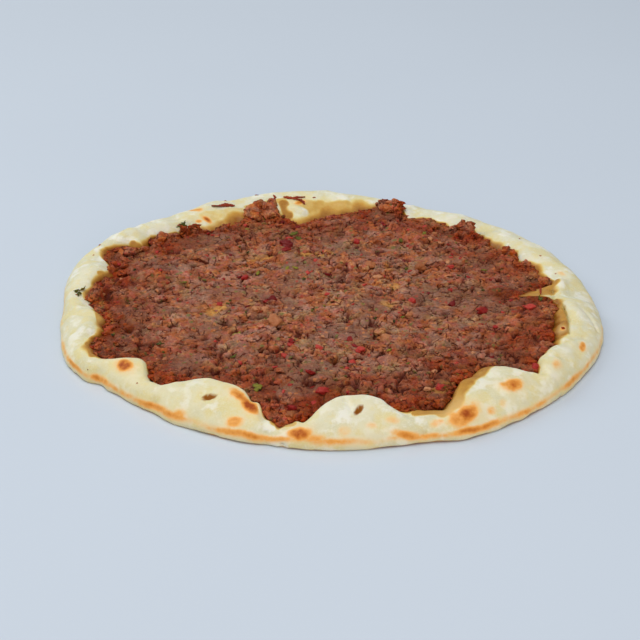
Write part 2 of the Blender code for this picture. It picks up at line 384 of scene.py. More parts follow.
def baked_dough():
    """Baked wheat dough, rolled thin and baked on stone: matt and floury where it is pale, with
    light that sinks a little way in, ochre and slick where the meat's fat soaked in, and brown
    and dry where it blistered against the heat."""
    material, tree, shader, place = new_material("baked_dough")
    toast, oil, pin_hole_shade, crease_shade, butter, lit_swells = (
        add(tree, "Attribute", output="Fac", attribute_name=name)
        for name in ("toast", "oil", "pin_hole_shade", "crease_shade", "butter", "lit_swells"))
    # The pale crumb: creamy, yellower and whiter in spots, floury, and buttery in places. Flour
    # is finer than a tenth of a millimetre, too fine to show, so its grains are drawn at 0.7 mm.
    broad = add(tree, "TexNoise", {"Vector": place, "Scale": 1 / (16 * MM), "Detail": 3.0})
    close = add(tree, "TexNoise", {"Vector": place, "Scale": 1 / (3.5 * MM), "Detail": 4.0,
                                   "Roughness": 0.6})
    flour = add(tree, "TexNoise", {"Vector": place, "Scale": 1 / (0.7 * MM), "Detail": 3.0,
                                   "Roughness": 0.6})
    crumb = add(tree, "ValToRGB", {0: broad}, ((0.32, "#d0cba5"), (0.68, "#e1dfca")))
    spots = add(tree, "TexNoise", {"Vector": place, "Scale": 1 / (6 * MM), "Detail": 3.0,
                                   "Roughness": 0.6}, output="Color")
    spots = add(tree, "SeparateColor", {0: spots})
    for more, channel, places, colour in DOUGH_SPOTS:
        share = add(tree, "Math", {0: lit_swells, 1: more, 2: spots.node.outputs[channel]},
                    operation="MULTIPLY_ADD")
        share = add(tree, "ValToRGB", {0: share}, places)
        crumb = add(tree, "Mix", {0: share, 6: crumb, 7: colour}, output=2, data_type="RGBA")
    share = add(tree, "ValToRGB", {0: flour}, ((0.45, 0.0), (0.75, 0.4)))
    crumb = add(tree, "Mix", {0: share, 6: crumb, 7: "#ebe8d4"}, output=2, data_type="RGBA")
    mottled = add(tree, "Math", {0: broad, 1: 1.6, 2: -0.8}, operation="MULTIPLY_ADD")
    share = add(tree, "Math", {0: butter, 1: mottled}, operation="ADD", use_clamp=True)
    share = add(tree, "Math", {0: share, 1: 0.75}, operation="MULTIPLY")
    crumb = add(tree, "Mix", {0: share, 6: crumb, 7: "#dccd8c"}, output=2, data_type="RGBA")
    # Fat that soaked in from the meat, from straw to ochre.
    soaked = add(tree, "Math", {0: close, 1: 0.36, 2: oil}, operation="MULTIPLY_ADD")
    soaked = add(tree, "Math", {0: soaked, 1: 0.18}, operation="SUBTRACT")
    wet = add(tree, "ValToRGB", {0: soaked}, ((0.06, 0.0), (0.5, 1.0)))
    fat = add(tree, "ValToRGB", {0: soaked}, (
        (0.1, "#e4db98"), (0.4, "#dcc274"), (0.72, "#c4933e"), (1.0, "#98601c")))
    surface = add(tree, "Mix", {0: wet, 6: crumb, 7: fat}, output=2, data_type="RGBA")
    # Toasting, from cream over orange to brown, then painted shade in creases and pin holes.
    heat = add(tree, "Math", {0: close, 1: 1.3, 2: 0.35}, operation="MULTIPLY_ADD")
    heat = add(tree, "Math", {0: heat, 1: toast}, operation="MULTIPLY")
    browned = add(tree, "ValToRGB", {0: heat}, (
        (0.04, "#e4d8a2"), (0.2, "#efca88"), (0.42, "#edab58"), (0.65, "#d68934"),
        (0.85, "#b9641b"), (1.0, "#9e4506")))
    share = add(tree, "ValToRGB", {0: heat}, ((0.02, 0.0), (0.42, 1.0)))
    surface = add(tree, "Mix", {0: share, 6: surface, 7: browned}, output=2, data_type="RGBA")
    surface = add(tree, "Mix", {0: crease_shade, 6: surface, 7: "#a8965a"}, output=2, data_type="RGBA")
    surface = add(tree, "Mix", {0: pin_hole_shade, 6: surface, 7: "#935500"}, output=2, data_type="RGBA")
    tree.links.new(surface, shader.inputs["Base Color"])
    slick = add(tree, "Math", {0: wet, 1: -0.28, 2: 0.6}, operation="MULTIPLY_ADD")
    tree.links.new(slick, shader.inputs["Roughness"])
    shader.inputs["IOR"].default_value = 1.44
    shader.inputs["Specular IOR Level"].default_value = 0.28
    shader.inputs["Subsurface Weight"].default_value = 0.18
    shader.inputs["Subsurface Radius"].default_value = (1.0, 0.7, 0.35)
    shader.inputs["Subsurface Scale"].default_value = 2.5 * MM
    # The skin's finest wrinkles and its flour.
    wrinkles = add(tree, "TexNoise", {"Vector": place, "Scale": 1 / (1.6 * MM), "Detail": 4.0,
                                      "Roughness": 0.6})
    grit = add(tree, "Math", {0: wrinkles, 1: 0.9, 2: flour}, operation="MULTIPLY_ADD")
    bump = add(tree, "Bump", {"Strength": 0.35, "Distance": 0.3 * MM, "Height": grit})
    tree.links.new(bump, shader.inputs["Normal"])
    return material


# Bits that show in the mince: which of a cell's three random numbers picks them, their colour.
MINCE_BITS = (("Red", "#a8402a"), ("Green", "#c98250"), ("Blue", "#75703a"))
# Tints of the mince, kneaded in: how large its clouds are, which of a cloud's three numbers shows
# it, where and how much, and its colour.
MINCE_TINTS = (
    (11 * MM, "Red", ((0.5, 0.0), (0.6, 0.7)), "#8c6755"),
    (11 * MM, "Green", ((0.5, 0.0), (0.62, 0.55)), "#7f6540"),
    (4.5 * MM, "Green", ((0.52, 0.0), (0.64, 0.75)), "#b5602a"),
    (4.5 * MM, "Red", ((0.36, 0.6), (0.48, 0.0)), "#a85a4c"),
    (4.5 * MM, "Blue", ((0.53, 0.0), (0.66, 0.6)), "#866454"),
)


def baked_mince():
    """Minced lamb and beef, kneaded with pepper paste and spread with a spoon: pinkish brown
    where it was smeared, with a greyer film there, partly its own and partly painted sheen for
    its slickness; tan to rust where grains stand up and browned, their raised fibres and specks
    lighter as partly painted light; darker and wet in the crevices where its fat collects, that
    darkness partly painted shade."""
    material, tree, shader, place = new_material("baked_mince")
    tone, juice_and_shade, rust, smear, browned, pooled = (
        add(tree, "Attribute", output="Fac", attribute_name=name)
        for name in ("tone", "juice_and_shade", "rust", "smear", "browned", "pooled"))
    # Fibres and grains, which wind as the mince was kneaded. A single fibre is too fine to show,
    # so they are drawn as bundles 1.3 mm across.
    wander = add(tree, "TexNoise", {"Vector": place, "Scale": 1 / (3.2 * MM), "Detail": 3.0,
                                    "Roughness": 0.6}, output="Color")
    winding = add(tree, "VectorMath", {0: wander, 1: (2.6 * MM,) * 3, 2: place},
                  operation="MULTIPLY_ADD")
    fibre = add(tree, "TexNoise", {"Vector": winding, "Scale": 1 / (1.3 * MM), "Detail": 5.0,
                                   "Roughness": 0.7})
    grain = add(tree, "TexVoronoi", {"Vector": winding, "Scale": 1 / (2.2 * MM)}, output="Color")
    patch = add(tree, "TexNoise", {"Vector": place, "Scale": 1 / (8 * MM), "Detail": 3.0})
    speck = add(tree, "TexNoise", {"Vector": place, "Scale": 1 / (0.9 * MM), "Detail": 2.0,
                                   "Roughness": 0.8})
    # Light and dark of the cooked flesh, and of flesh that fried, with its tints. Fibres and
    # specks are lighter where the bump raises them, which is partly painted light on their tops.
    value = add(tree, "Math", {0: fibre, 1: 1.1, 2: -0.93}, operation="MULTIPLY_ADD")
    value = add(tree, "Math", {0: speck, 1: 0.5, 2: value}, operation="MULTIPLY_ADD")
    value = add(tree, "Math", {0: grain, 1: 0.3, 2: value}, operation="MULTIPLY_ADD")
    value = add(tree, "Math", {0: tone, 1: 0.3, 2: value}, operation="MULTIPLY_ADD")
    value = add(tree, "Math", {0: patch, 1: 0.7, 2: value}, operation="MULTIPLY_ADD")
    flesh = add(tree, "ValToRGB", {0: value}, (
        (0.0, "#53200d"), (0.25, "#803f21"), (0.5, "#9f5935"), (0.72, "#b76e40"),
        (1.0, "#d69a66")))
    fried = add(tree, "ValToRGB", {0: value}, (
        (0.0, "#521e06"), (0.3, "#914212"), (0.6, "#c87228"), (1.0, "#e6a458")))
    flesh = add(tree, "Mix", {0: rust, 6: flesh, 7: fried}, output=2, data_type="RGBA")
    for size, channel, places, colour in MINCE_TINTS:
        cloud = add(tree, "TexNoise", {"Vector": winding, "Scale": 1 / size, "Detail": 1.0},
                    output="Color")
        cloud = add(tree, "SeparateColor", {0: cloud}, output=channel)
        share = add(tree, "ValToRGB", {0: cloud}, places)
        flesh = add(tree, "Mix", {0: share, 6: flesh, 7: colour}, output=2, data_type="RGBA",
                    blend_type="COLOR")
    # The film of a smear, partly the paste's own colour and partly painted sheen, bits of
    # pepper, onion and herb, and browning towards the edge.
    film_and_sheen = add(tree, "ValToRGB", {0: fibre}, ((0.35, "#694532"), (0.65, "#916c57")))
    share = add(tree, "Math", {0: smear, 1: 0.62}, operation="MULTIPLY")
    flesh = add(tree, "Mix", {0: share, 6: flesh, 7: film_and_sheen}, output=2, data_type="RGBA")
    cells = add(tree, "TexVoronoi", {"Vector": winding, "Scale": 1 / (2.7 * MM)}, output="Color")
    within = add(tree, "ValToRGB", {0: cells.node.outputs["Distance"]},
                 ((0.28, 0.85), (0.42, 0.0)))
    numbers = add(tree, "SeparateColor", {0: cells})
    for channel, colour in MINCE_BITS:
        picked = add(tree, "ValToRGB", {0: numbers.node.outputs[channel]},
                     ((0.88, 0.0), (0.9, 1.0)))
        share = add(tree, "Math", {0: within, 1: picked}, operation="MULTIPLY")
        flesh = add(tree, "Mix", {0: share, 6: flesh, 7: colour}, output=2, data_type="RGBA")
    flesh = add(tree, "Mix", {0: browned, 6: flesh, 7: "#d48f4a"}, output=2, data_type="RGBA",
                blend_type="MULTIPLY")
    # Crevices, torn here and there, darkened partly by fat and partly as painted shade; then
    # pools of fat; then the deep gaps and the feet of crumbs, darkened the same way.
    eased = add(tree, "VectorMath", {0: wander, 1: (1.6 * MM,) * 3, 2: place},
                operation="MULTIPLY_ADD")
    seams = add(tree, "TexVoronoi", {"Vector": eased, "Scale": 1 / (5.0 * MM)},
                feature="DISTANCE_TO_EDGE")
    thin = add(tree, "ValToRGB", {0: seams}, ((0.012, 0.95), (0.055, 0.0)))
    torn = add(tree, "TexNoise", {"Vector": place, "Scale": 1 / (4.5 * MM), "Detail": 2.0})
    torn = add(tree, "ValToRGB", {0: torn}, ((0.51, 0.0), (0.56, 1.0)))
    crevice = add(tree, "Math", {0: thin, 1: torn}, operation="MULTIPLY")
    flesh = add(tree, "Mix", {0: crevice, 6: flesh, 7: "#5e1c08"}, output=2, data_type="RGBA")
    share = add(tree, "Math", {0: pooled, 1: 0.85}, operation="MULTIPLY")
    flesh = add(tree, "Mix", {0: share, 6: flesh, 7: "#cf9446"}, output=2, data_type="RGBA")
    share = add(tree, "ValToRGB", {0: juice_and_shade}, ((0.15, 0.0), (0.5, 0.5), (0.9, 0.95)))
    flesh = add(tree, "Mix", {0: share, 6: flesh, 7: "#561806"}, output=2, data_type="RGBA")
    tree.links.new(flesh, shader.inputs["Base Color"])
    wet = add(tree, "Math", {0: fibre, 1: 0.4, 2: 0.25}, operation="MULTIPLY_ADD")
    tree.links.new(wet, shader.inputs["Roughness"])
    shader.inputs["IOR"].default_value = 1.42
    shader.inputs["Specular IOR Level"].default_value = 0.2
    shader.inputs["Subsurface Weight"].default_value = 0.2
    shader.inputs["Subsurface Radius"].default_value = (1.0, 0.3, 0.12)
    shader.inputs["Subsurface Scale"].default_value = 1.6 * MM
    # Relief too fine for the mesh: domed grains, fibres, specks and crevices.
    domes = add(tree, "Math", {0: grain.node.outputs["Distance"], 1: -0.9, 2: fibre},
                operation="MULTIPLY_ADD")
    domes = add(tree, "Math", {0: speck, 1: 0.5, 2: domes}, operation="MULTIPLY_ADD")
    domes = add(tree, "Math", {0: crevice, 1: -1.2, 2: domes}, operation="MULTIPLY_ADD")
    bump = add(tree, "Bump", {"Strength": 1.0, "Distance": 0.55 * MM, "Height": domes})
    tree.links.new(bump, shader.inputs["Normal"])
    return material


def cooked_bits(name, dark, middle, light, roughness, sunk):
    """Cut vegetable or herb, cooked in the meat's fat: wet, its cut faces soft, with light that
    sinks a little way in, and each bit a little different in colour."""
    material, tree, shader, place = new_material(name)
    tone = add(tree, "Attribute", output="Fac", attribute_name="tone")
    flesh = add(tree, "TexNoise", {"Vector": place, "Scale": 1 / (1.1 * MM), "Detail": 3.0,
                                   "Roughness": 0.6})
    value = add(tree, "Math", {0: flesh, 1: 0.8, 2: -0.4}, operation="MULTIPLY_ADD")
    value = add(tree, "Math", {0: value, 1: tone}, operation="ADD")
    colour = add(tree, "ValToRGB", {0: value}, ((0.1, dark), (0.5, middle), (0.9, light)))
    tree.links.new(colour, shader.inputs["Base Color"])
    wet = add(tree, "Math", {0: flesh, 1: 0.2, 2: roughness}, operation="MULTIPLY_ADD")
    tree.links.new(wet, shader.inputs["Roughness"])
    shader.inputs["IOR"].default_value = 1.38
    shader.inputs["Specular IOR Level"].default_value = 0.3
    shader.inputs["Subsurface Weight"].default_value = sunk
    shader.inputs["Subsurface Radius"].default_value = (1.0, 0.4, 0.3)
    shader.inputs["Subsurface Scale"].default_value = 1.0 * MM
    bump = add(tree, "Bump", {"Strength": 0.6, "Distance": 0.25 * MM, "Height": flesh})
    tree.links.new(bump, shader.inputs["Normal"])
    return material


DOUGH = baked_dough()
MINCE = baked_mince()
PEPPER = cooked_bits(
    "red_pepper", "#6a120e", "#9a231c", "#b43d31", roughness=0.4, sunk=0.1)
ONION = cooked_bits(
    "cooked_onion", "#8a4a22", "#a8683f", "#bd825a", roughness=0.38, sunk=0.15)
DRIED_PEPPER = cooked_bits(
    "dried_pepper", "#742410", "#9c3c1a", "#b65a2c", roughness=0.5, sunk=0.05)
PARSLEY = cooked_bits(
    "chopped_parsley", "#2c300b", "#545312", "#8c8228", roughness=0.5, sunk=0.05)

# ------------------------------------------------------------------------- the bread


def of_turn(table, direction, scale=1.0):
    """A value that a table gives by direction."""
    table = np.array(table, float)
    return np.interp(direction, table[:, 0], table[:, 1]) * scale


# The meat's edge where it can be seen against the dough: direction, radius in mm.
MEAT_EDGE = (
    (0, 89), (1, 91), (3, 96), (6, 103.5), (7.5, 107.5), (9, 109), (11, 107.5), (14, 105),
    (18, 105), (21, 102), (24, 101), (27, 104), (30, 101), (33, 102), (39, 103), (45, 106),
    (48, 108), (51, 99), (54, 102), (60, 104), (66, 101), (69, 108), (72, 112), (75, 111),
    (78, 104), (84, 97), (87, 92), (90, 96), (93, 92), (99, 87), (102, 89), (105, 94), (108, 97),
    (111, 95), (114, 98), (117, 100), (120, 99), (123, 96), (128, 97), (132, 105), (135, 104.5),
    (138, 105.5), (141, 108.5), (144, 110.5), (147, 109), (149, 107.5), (151, 114), (153, 120),
    (155, 124), (157, 123), (159.5, 118.5), (162, 113), (165, 110), (168, 111), (171, 112),
    (174, 113), (177, 115), (180, 115), (183, 111.5), (186, 110.5), (189, 109), (190.5, 107),
    (193, 106.3), (196, 106.8), (199, 107.6), (200.5, 110.5), (202, 115), (205, 117.6),
    (208, 118.4), (212, 116.5), (292, 113), (294, 112.5), (296, 109.5), (298, 106), (300, 102.5),
    (303, 99), (306, 97), (309, 94.8), (312, 93.5), (315, 93.2), (317, 95.5), (319, 99),
    (323, 103), (328, 110), (333, 109), (339, 108), (343, 106), (347, 104.5), (351, 105),
    (354, 106.5), (357, 105), (358.2, 102), (359, 96), (359.5, 89), (360, 89),
)
PRESSED_IN = 0.9 * MM  # how far the meat is pressed into a folded inner face
# Where the meat runs further up an inner face: direction, half spread, how far.
MEAT_RUNS = ((259, 4.5, 2.0 * MM), (289, 6, 2.0 * MM))
# Directions that the folds lean over the meat between, and between them those of the open face at
# the front right. Each changes gently from one direction to another.
LEANING_FROM, LEANING_TO = (209, 213), (322, 330)
FACE_FROM, FACE_TO = (293, 298), (316, 320)
# Small lobes of the meat's edge: height, length, seed. They are taken along a plain circle.
LOBES = ((0.8 * MM, 7 * MM, 3), (0.7 * MM, 3.2 * MM, 4))
LOBES_RADIUS = 110 * MM


def open_share(direction):
    """1 where the rim falls openly to the meat's edge, 0 where its fold leans over the meat."""
    leaning = soft_step(direction, *LEANING_FROM) * (1 - soft_step(direction, *LEANING_TO))
    face = soft_step(direction, *FACE_FROM) * (1 - soft_step(direction, *FACE_TO))
    return 1 - leaning * (1 - face)


def meat_edge(direction):
    """Radius of the meat's edge in a direction."""
    _, _, foot, _, _ = rim(direction)
    plain = foot + PRESSED_IN
    for centre, spread, out in MEAT_RUNS:
        plain = plain + out * fall(direction, centre, spread)
    radius = plain + (of_turn(MEAT_EDGE, direction, MM) - plain) * open_share(direction)
    return swells(spot_at(direction, LOBES_RADIUS), LOBES, radius)


BREAD_STATIONS = 1080
UNDER_SHARES = (0.25, 0.5, 0.7, 0.84, 0.93, 1.0)  # of the radius, for the underside's rings
FLOOR_SHARES = (0.985, 0.94, 0.8, 0.5)  # and for those of the floor
LIP_STEPS = 5
OUTER_STEPS = 28
INNER_STEPS = 44
OPEN_STEPS, UNDER_STEPS = 0.84, 0.16  # shares of the inner steps before and beyond the meat's edge
# Powers of the curves of the outer face, where 1 gives an ellipse and 2 a straight slope, and of
# an open inner face, where 1 gives a straight slope and 2 a parabola.
OUTER_CURVE, INNER_CURVE = 1.1, 2.3
# Height of an open inner face at the meat's edge, by how far that lies from the crest, in mm.
EDGE_HEIGHTS = ((0, 8.8), (5, 7.8), (12, 6.6), (30, 6.0))
LEAST_RUN, LEAST_FALL = 1 * MM, 0.3 * MM  # from the crest in and down to the meat's edge
UNDER_MEAT = 3.2 * MM  # how far under the meat an open inner face runs down to the floor
TONGUE_RISE = (0.6, 6.0, 2.6 * MM)  # direction, half spread, how much higher its end lies


def bread_section(direction):
    """Radii and heights from the underside's middle, round the lip and over the rim to the
    floor, one row a point, for an array of directions."""
    edge, crest, foot, height, slope = rim(direction)
    flat = 0 * edge
    radii = [(edge - LIP_ROUND) * share for share in UNDER_SHARES]
    heights = [flat for _ in UNDER_SHARES]
    for turn in np.linspace(math.pi / 2, 0, LIP_STEPS + 1)[1:-1]:
        radii.append(edge - LIP_ROUND * (1 - math.cos(turn)))
        heights.append(LIP_HEIGHT * (1 - math.sin(turn)) + flat)
    for turn in np.linspace(math.pi / 2, 0, OUTER_STEPS + 1):
        outwards, upwards = math.sin(turn), max(math.cos(turn), 0)
        radii.append(crest + (edge - crest) * outwards ** OUTER_CURVE)
        heights.append(LIP_HEIGHT + (height - LIP_HEIGHT) * upwards ** OUTER_CURVE)
    opened = open_share(direction)
    run = np.maximum(crest - meat_edge(direction), LEAST_RUN)
    centre, spread, rise = TONGUE_RISE
    end = of_turn(EDGE_HEIGHTS, run / MM, MM) + rise * fall(direction, centre, spread)
    end = np.minimum(end, height - LEAST_FALL)
    for step in range(1, INNER_STEPS + 1):
        turn = step / INNER_STEPS * math.pi / 2
        along, puffed = math.sin(turn), math.cos(turn)
        sloped = 1 - gentle(along)
        folded_radius = crest - (crest - foot) * along
        folded_height = FLOOR + (height - FLOOR) * (puffed + (sloped - puffed) * slope)
        share = min(step / INNER_STEPS / OPEN_STEPS, 1)
        beyond = max(step / INNER_STEPS - OPEN_STEPS, 0) / UNDER_STEPS
        domed = (1 - slope) * (1 - share ** INNER_CURVE) + slope * (1 - gentle(share))
        open_radius = crest - run * share - UNDER_MEAT * beyond
        open_height = end + (height - end) * domed - (end - FLOOR) * beyond
        radii.append(folded_radius + (open_radius - folded_radius) * opened)
        heights.append(folded_height + (open_height - folded_height) * opened)
    last = radii[-1]
    for share in FLOOR_SHARES:
        radii.append(last * share)
        heights.append(FLOOR + flat)
    return np.array(radii), np.array(heights)


TOP_START = len(UNDER_SHARES) + LIP_STEPS - 1  # the first ring above the lip


def surface_height(direction, radius):
    """Height of the bread's plain upper side at each of some directions, at its own radius."""
    radii, heights = bread_section(np.atleast_1d(np.asarray(direction, float)))
    radius = np.broadcast_to(radius, radii.shape[1:])
    return np.array([
        np.interp(reach, across[::-1], high[::-1])
        for reach, across, high in zip(radius, radii[TOP_START:].T, heights[TOP_START:].T)
    ])


def on_bread(direction, radius):
    """The point of the bread's plain upper side at a direction and radius."""
    return spot_at(direction, radius * MM, surface_height(direction, radius * MM)[0])


def nearness(points, start, end, width):
    """1 on the line from one point to another, falling to 0 at its half width."""
    along = end - start
    share = np.clip((points - start) @ along / max(float(along @ along), TINY), 0, 1)
    away = np.linalg.norm(points - start - share[..., None] * along, axis=-1)
    return np.clip(1 - away / width, 0, 1)


def near_on_bread(points, start, end, width):
    """Nearness to a line that lies on the bread, its ends given by direction and radius in mm."""
    return nearness(points, on_bread(*start), on_bread(*end), width)


def near_from_above(points, start, end, width, ragged):
    """Nearness to such a line as it is seen from above, made ragged within its half width."""
    start, end = (spot_at(direction, radius * MM) for direction, radius in (start, end))
    close = nearness(points * (1, 1, 0), start, end, width)
    return close + ragged * (close > 0)


def oval(points, start, end, width):
    """How far out each point lies in an oval spot on the bread: 0 in its middle, 1 at its edge."""
    start, end = on_bread(*start), on_bread(*end)
    offset = points - (start + end) / 2
    length = float(np.linalg.norm(end - start))
    along = offset @ ((end - start) / length)
    across = np.sqrt(np.maximum(np.sum(offset ** 2, axis=-1) - along ** 2, 0))
    return np.hypot(along / (length / 2 + width), across / width)


# Toasted spots and streaks: from and to (direction, radius in mm), half width, strength.
TOASTED = (
    ((217.4, 112.8), (219.2, 112.2), 3.4 * MM, 1.0),
    ((215.0, 114.5), (220.5, 113.6), 4.6 * MM, 0.3),
    ((236.2, 118.8), (239.6, 118.4), 2.4 * MM, 0.42),
    ((249.2, 117.0), (250.8, 116.4), 3.0 * MM, 0.6),
    ((246.8, 102.6), (250.4, 106.0), 2.8 * MM, 0.8),
    ((250.4, 106.6), (253.0, 110.0), 3.4 * MM, 1.1),
    ((261.8, 117.6), (265.5, 118.4), 3.2 * MM, 0.9),
    ((264.0, 119.4), (268.5, 119.6), 2.6 * MM, 0.5),
    ((294.2, 120.4), (299.6, 118.8), 5.0 * MM, 0.6),
    ((297.2, 119.4), (298.8, 119.0), 4.4 * MM, 1.0),
    ((303.3, 121.2), (303.6, 121.0), 2.6 * MM, 0.42),
    ((306.6, 120.1), (306.9, 119.8), 2.4 * MM, 0.32),
    ((310.4, 115.2), (313.4, 115.8), 4.0 * MM, 0.74),
    ((281.6, 118.6), (287.6, 121.6), 2.8 * MM, 0.6),
    ((323.8, 119.6), (325.4, 119.0), 3.2 * MM, 0.36),
    ((334.8, 123.0), (337.4, 121.9), 1.7 * MM, 0.7),
    ((290.6, 118.8), (292.6, 118.6), 2.6 * MM, 0.4),
    ((282.0, 114.5), (283.6, 114.9), 3.0 * MM, 0.34),
    ((277.8, 115.8), (278.8, 116.0), 2.6 * MM, 0.3),
    ((272.0, 117.6), (273.0, 117.2), 2.8 * MM, 0.3),
    ((126.4, 115.0), (127.2, 117.0), 2.6 * MM, 0.6),
    ((126.4, 104.6), (127.0, 107.0), 1.5 * MM, 0.85),
    ((129.0, 106.6), (129.6, 107.2), 1.2 * MM, 0.6),
    ((97.4, 108.4), (98.8, 106.8), 2.6 * MM, 0.7),
    ((10.6, 115.6), (12.6, 114.4), 2.4 * MM, 0.3),
    ((341.4, 110.9), (341.9, 110.8), 1.4 * MM, 0.9),
    ((176.0, 127.0), (182.0, 125.6), 3.4 * MM, 0.3),
)
# How brown the lower edge is, in a direction.
EDGE_BROWN = (
    (0, 0.45), (12, 0.35), (30, 0.2), (60, 0.25), (95, 0.2), (120, 0.3), (150, 0.25), (175, 0.4),
    (190, 0.5), (200, 0.65), (205, 0.85), (216, 0.85), (222, 0.8), (230, 0.85), (236, 0.7),
    (241, 0.65), (246, 0.7), (250, 0.8), (256, 0.9), (262, 0.9), (268, 0.8), (273, 0.55),
    (277, 0.45), (279.5, 0.3), (281, 0.6), (285, 0.95), (290, 0.8), (293, 0.6), (297, 0.95),
    (303, 0.85), (306, 0.6), (310, 0.75), (315, 0.8), (319, 0.6), (323, 0.7), (331, 0.7),
    (338, 0.65), (346, 0.6), (360, 0.45),
)
# How far out from the meat its fat has soaked in, in a direction, in mm.
SOAKED = (
    (0, 9), (4, 7), (7, 2), (11, 2), (14, 4), (18, 5), (22, 1.5), (28, 2.5), (33, 3), (38, 1.5),
    (47, 1.5), (55, 2.0), (65, 1.5), (72, 2), (77, 5), (81, 13), (92, 15), (101, 11), (108, 9),
    (114, 11), (120, 11), (126, 9), (130, 5), (133, 2), (142, 1.5), (146, 2.5), (149, 4),
    (151, 2.5), (155, 2), (158, 4.5), (161, 2), (164, 2), (168, 2.5), (172, 2.5), (175, 2),
    (179, 3.5), (183, 2), (188, 2), (191, 4), (196, 4.5), (199, 4), (201, 2), (203, 4),
    (206, 5), (210, 4), (213, 1.5), (217, 1), (225, 1), (247, 2), (257, 2), (262, 2), (267, 1.5),
    (280, 2), (286, 2.5), (293, 3), (298, 6), (306, 7), (313, 5), (319, 1.5), (327, 1.5),
    (333, 3), (338, 6.5), (343, 8), (350, 7), (354, 4), (358, 5), (360, 9),
)
# Where fat ran further out, or lies in a hollow: from, to, half width, strength.
OILED = (
    ((359.8, 91), (3.5, 103), 8.0 * MM, 0.8),
    ((3.5, 103), (6.2, 108.5), 3.6 * MM, 0.8),
    ((149.6, 109.5), (150.2, 114.0), 2.6 * MM, 0.85),
    ((168.8, 112.5), (169.6, 113.5), 1.8 * MM, 0.7),
    ((137.6, 106.5), (139.4, 107.5), 2.8 * MM, 0.9),
    ((117, 100), (130, 99), 7.5 * MM, 0.7),
    ((115, 107), (126, 108), 5.5 * MM, 0.4),
    ((102.6, 97), (102.8, 108.5), 3.6 * MM, 0.9),
    ((102.5, 111), (113, 111), 2.6 * MM, 0.55),
    ((191.5, 108.5), (198.5, 109), 2.8 * MM, 0.7),
    ((204, 117.5), (209, 119), 3.0 * MM, 0.85),
    ((340.5, 111), (344, 109.5), 4.4 * MM, 0.9),
    ((344, 109.5), (351, 107.5), 4.0 * MM, 0.8),
    ((258, 113), (262, 112.5), 2.4 * MM, 0.6),
    ((288, 111.5), (294, 114), 2.4 * MM, 0.8),
    ((293.5, 114.5), (297, 112.5), 4.2 * MM, 0.72),
    ((297, 112.5), (300, 107), 4.6 * MM, 0.75),
    ((300, 107), (303.5, 104), 4.4 * MM, 0.78),
    ((303.5, 103), (308.5, 100.4), 4.6 * MM, 0.85),
    ((308.5, 100.4), (317, 98), 5.4 * MM, 0.85),
    ((85, 104), (97, 105), 8.0 * MM, 0.6),
)
# How buttery yellow the dough is, in a direction.
BUTTERY = (
    (0, 0.3), (10, 0.15), (40, 0.0), (75, 0.0), (100, 0.1), (125, 0.1), (150, 0.05), (180, 0.1),
    (205, 0.35), (225, 0.5), (245, 0.35), (262, 0.15), (280, 0.2), (295, 0.25), (310, 0.35),
    (322, 0.35), (335, 0.25), (350, 0.15), (360, 0.3),
)
# Where a finger or a fold has left a line: from, to, half width, depth, and how dark
# the painted shade in it is.
CREASES = (
    ((259.4, 108.0), (260.4, 121.5), 2.8 * MM, 2.2 * MM, 0.25),
    ((273.2, 100.5), (274.4, 108.0), 2.0 * MM, 0.8 * MM, 0.0),
    ((7.6, 107.8), (3.0, 106.4), 1.5 * MM, 1.6 * MM, 0.8),
    ((3.0, 106.4), (358.0, 104.8), 1.5 * MM, 1.8 * MM, 0.9),
    ((358.0, 104.8), (352.0, 109.2), 1.4 * MM, 1.7 * MM, 0.7),
    ((352.0, 109.2), (346.0, 112.4), 1.4 * MM, 1.6 * MM, 0.7),
    ((346.0, 112.4), (340.0, 114.2), 1.4 * MM, 1.2 * MM, 0.5),
    ((358.0, 106.5), (355.0, 112.0), 2.4 * MM, 0.9 * MM, 0.1),
    ((160.5, 121.0), (164.5, 129.0), 2.6 * MM, 0.9 * MM, 0.0),
    ((176.0, 120.0), (173.0, 127.0), 3.0 * MM, 0.5 * MM, 0.0),
    ((188.0, 114.0), (189.0, 125.0), 2.8 * MM, 0.8 * MM, 0.0),
    ((200.5, 113.0), (203.5, 124.0), 3.0 * MM, 0.8 * MM, 0.0),
    ((229.0, 106.0), (231.0, 118.0), 3.6 * MM, 1.0 * MM, 0.0),
    ((234.0, 100.0), (247.0, 99.5), 3.0 * MM, 0.5 * MM, 0.0),
    ((253.8, 107.0), (257.0, 118.0), 2.8 * MM, 0.7 * MM, 0.0),
    ((283.0, 105.0), (287.0, 114.0), 2.8 * MM, 0.6 * MM, 0.0),
    ((318.8, 104.0), (320.5, 118.0), 3.0 * MM, 1.0 * MM, 0.1),
    ((286.4, 107.0), (288.4, 121.0), 2.2 * MM, 1.3 * MM, 0.12),
    ((326.5, 112.0), (329.0, 121.0), 2.6 * MM, 0.9 * MM, 0.05),
    ((334.0, 113.0), (340.0, 121.5), 2.6 * MM, 0.7 * MM, 0.05),
    ((351.0, 119.0), (346.0, 125.5), 1.8 * MM, 0.9 * MM, 0.15),
    ((133.0, 113.0), (140.0, 118.0), 3.0 * MM, 0.7 * MM, 0.0),
    ((40.0, 110.0), (50.0, 113.5), 3.0 * MM, 0.6 * MM, 0.0),
)
DRY_BLISTER = ((98.0, 99.5), (100.6, 103.0), 4.2 * MM)  # its skin took up no fat
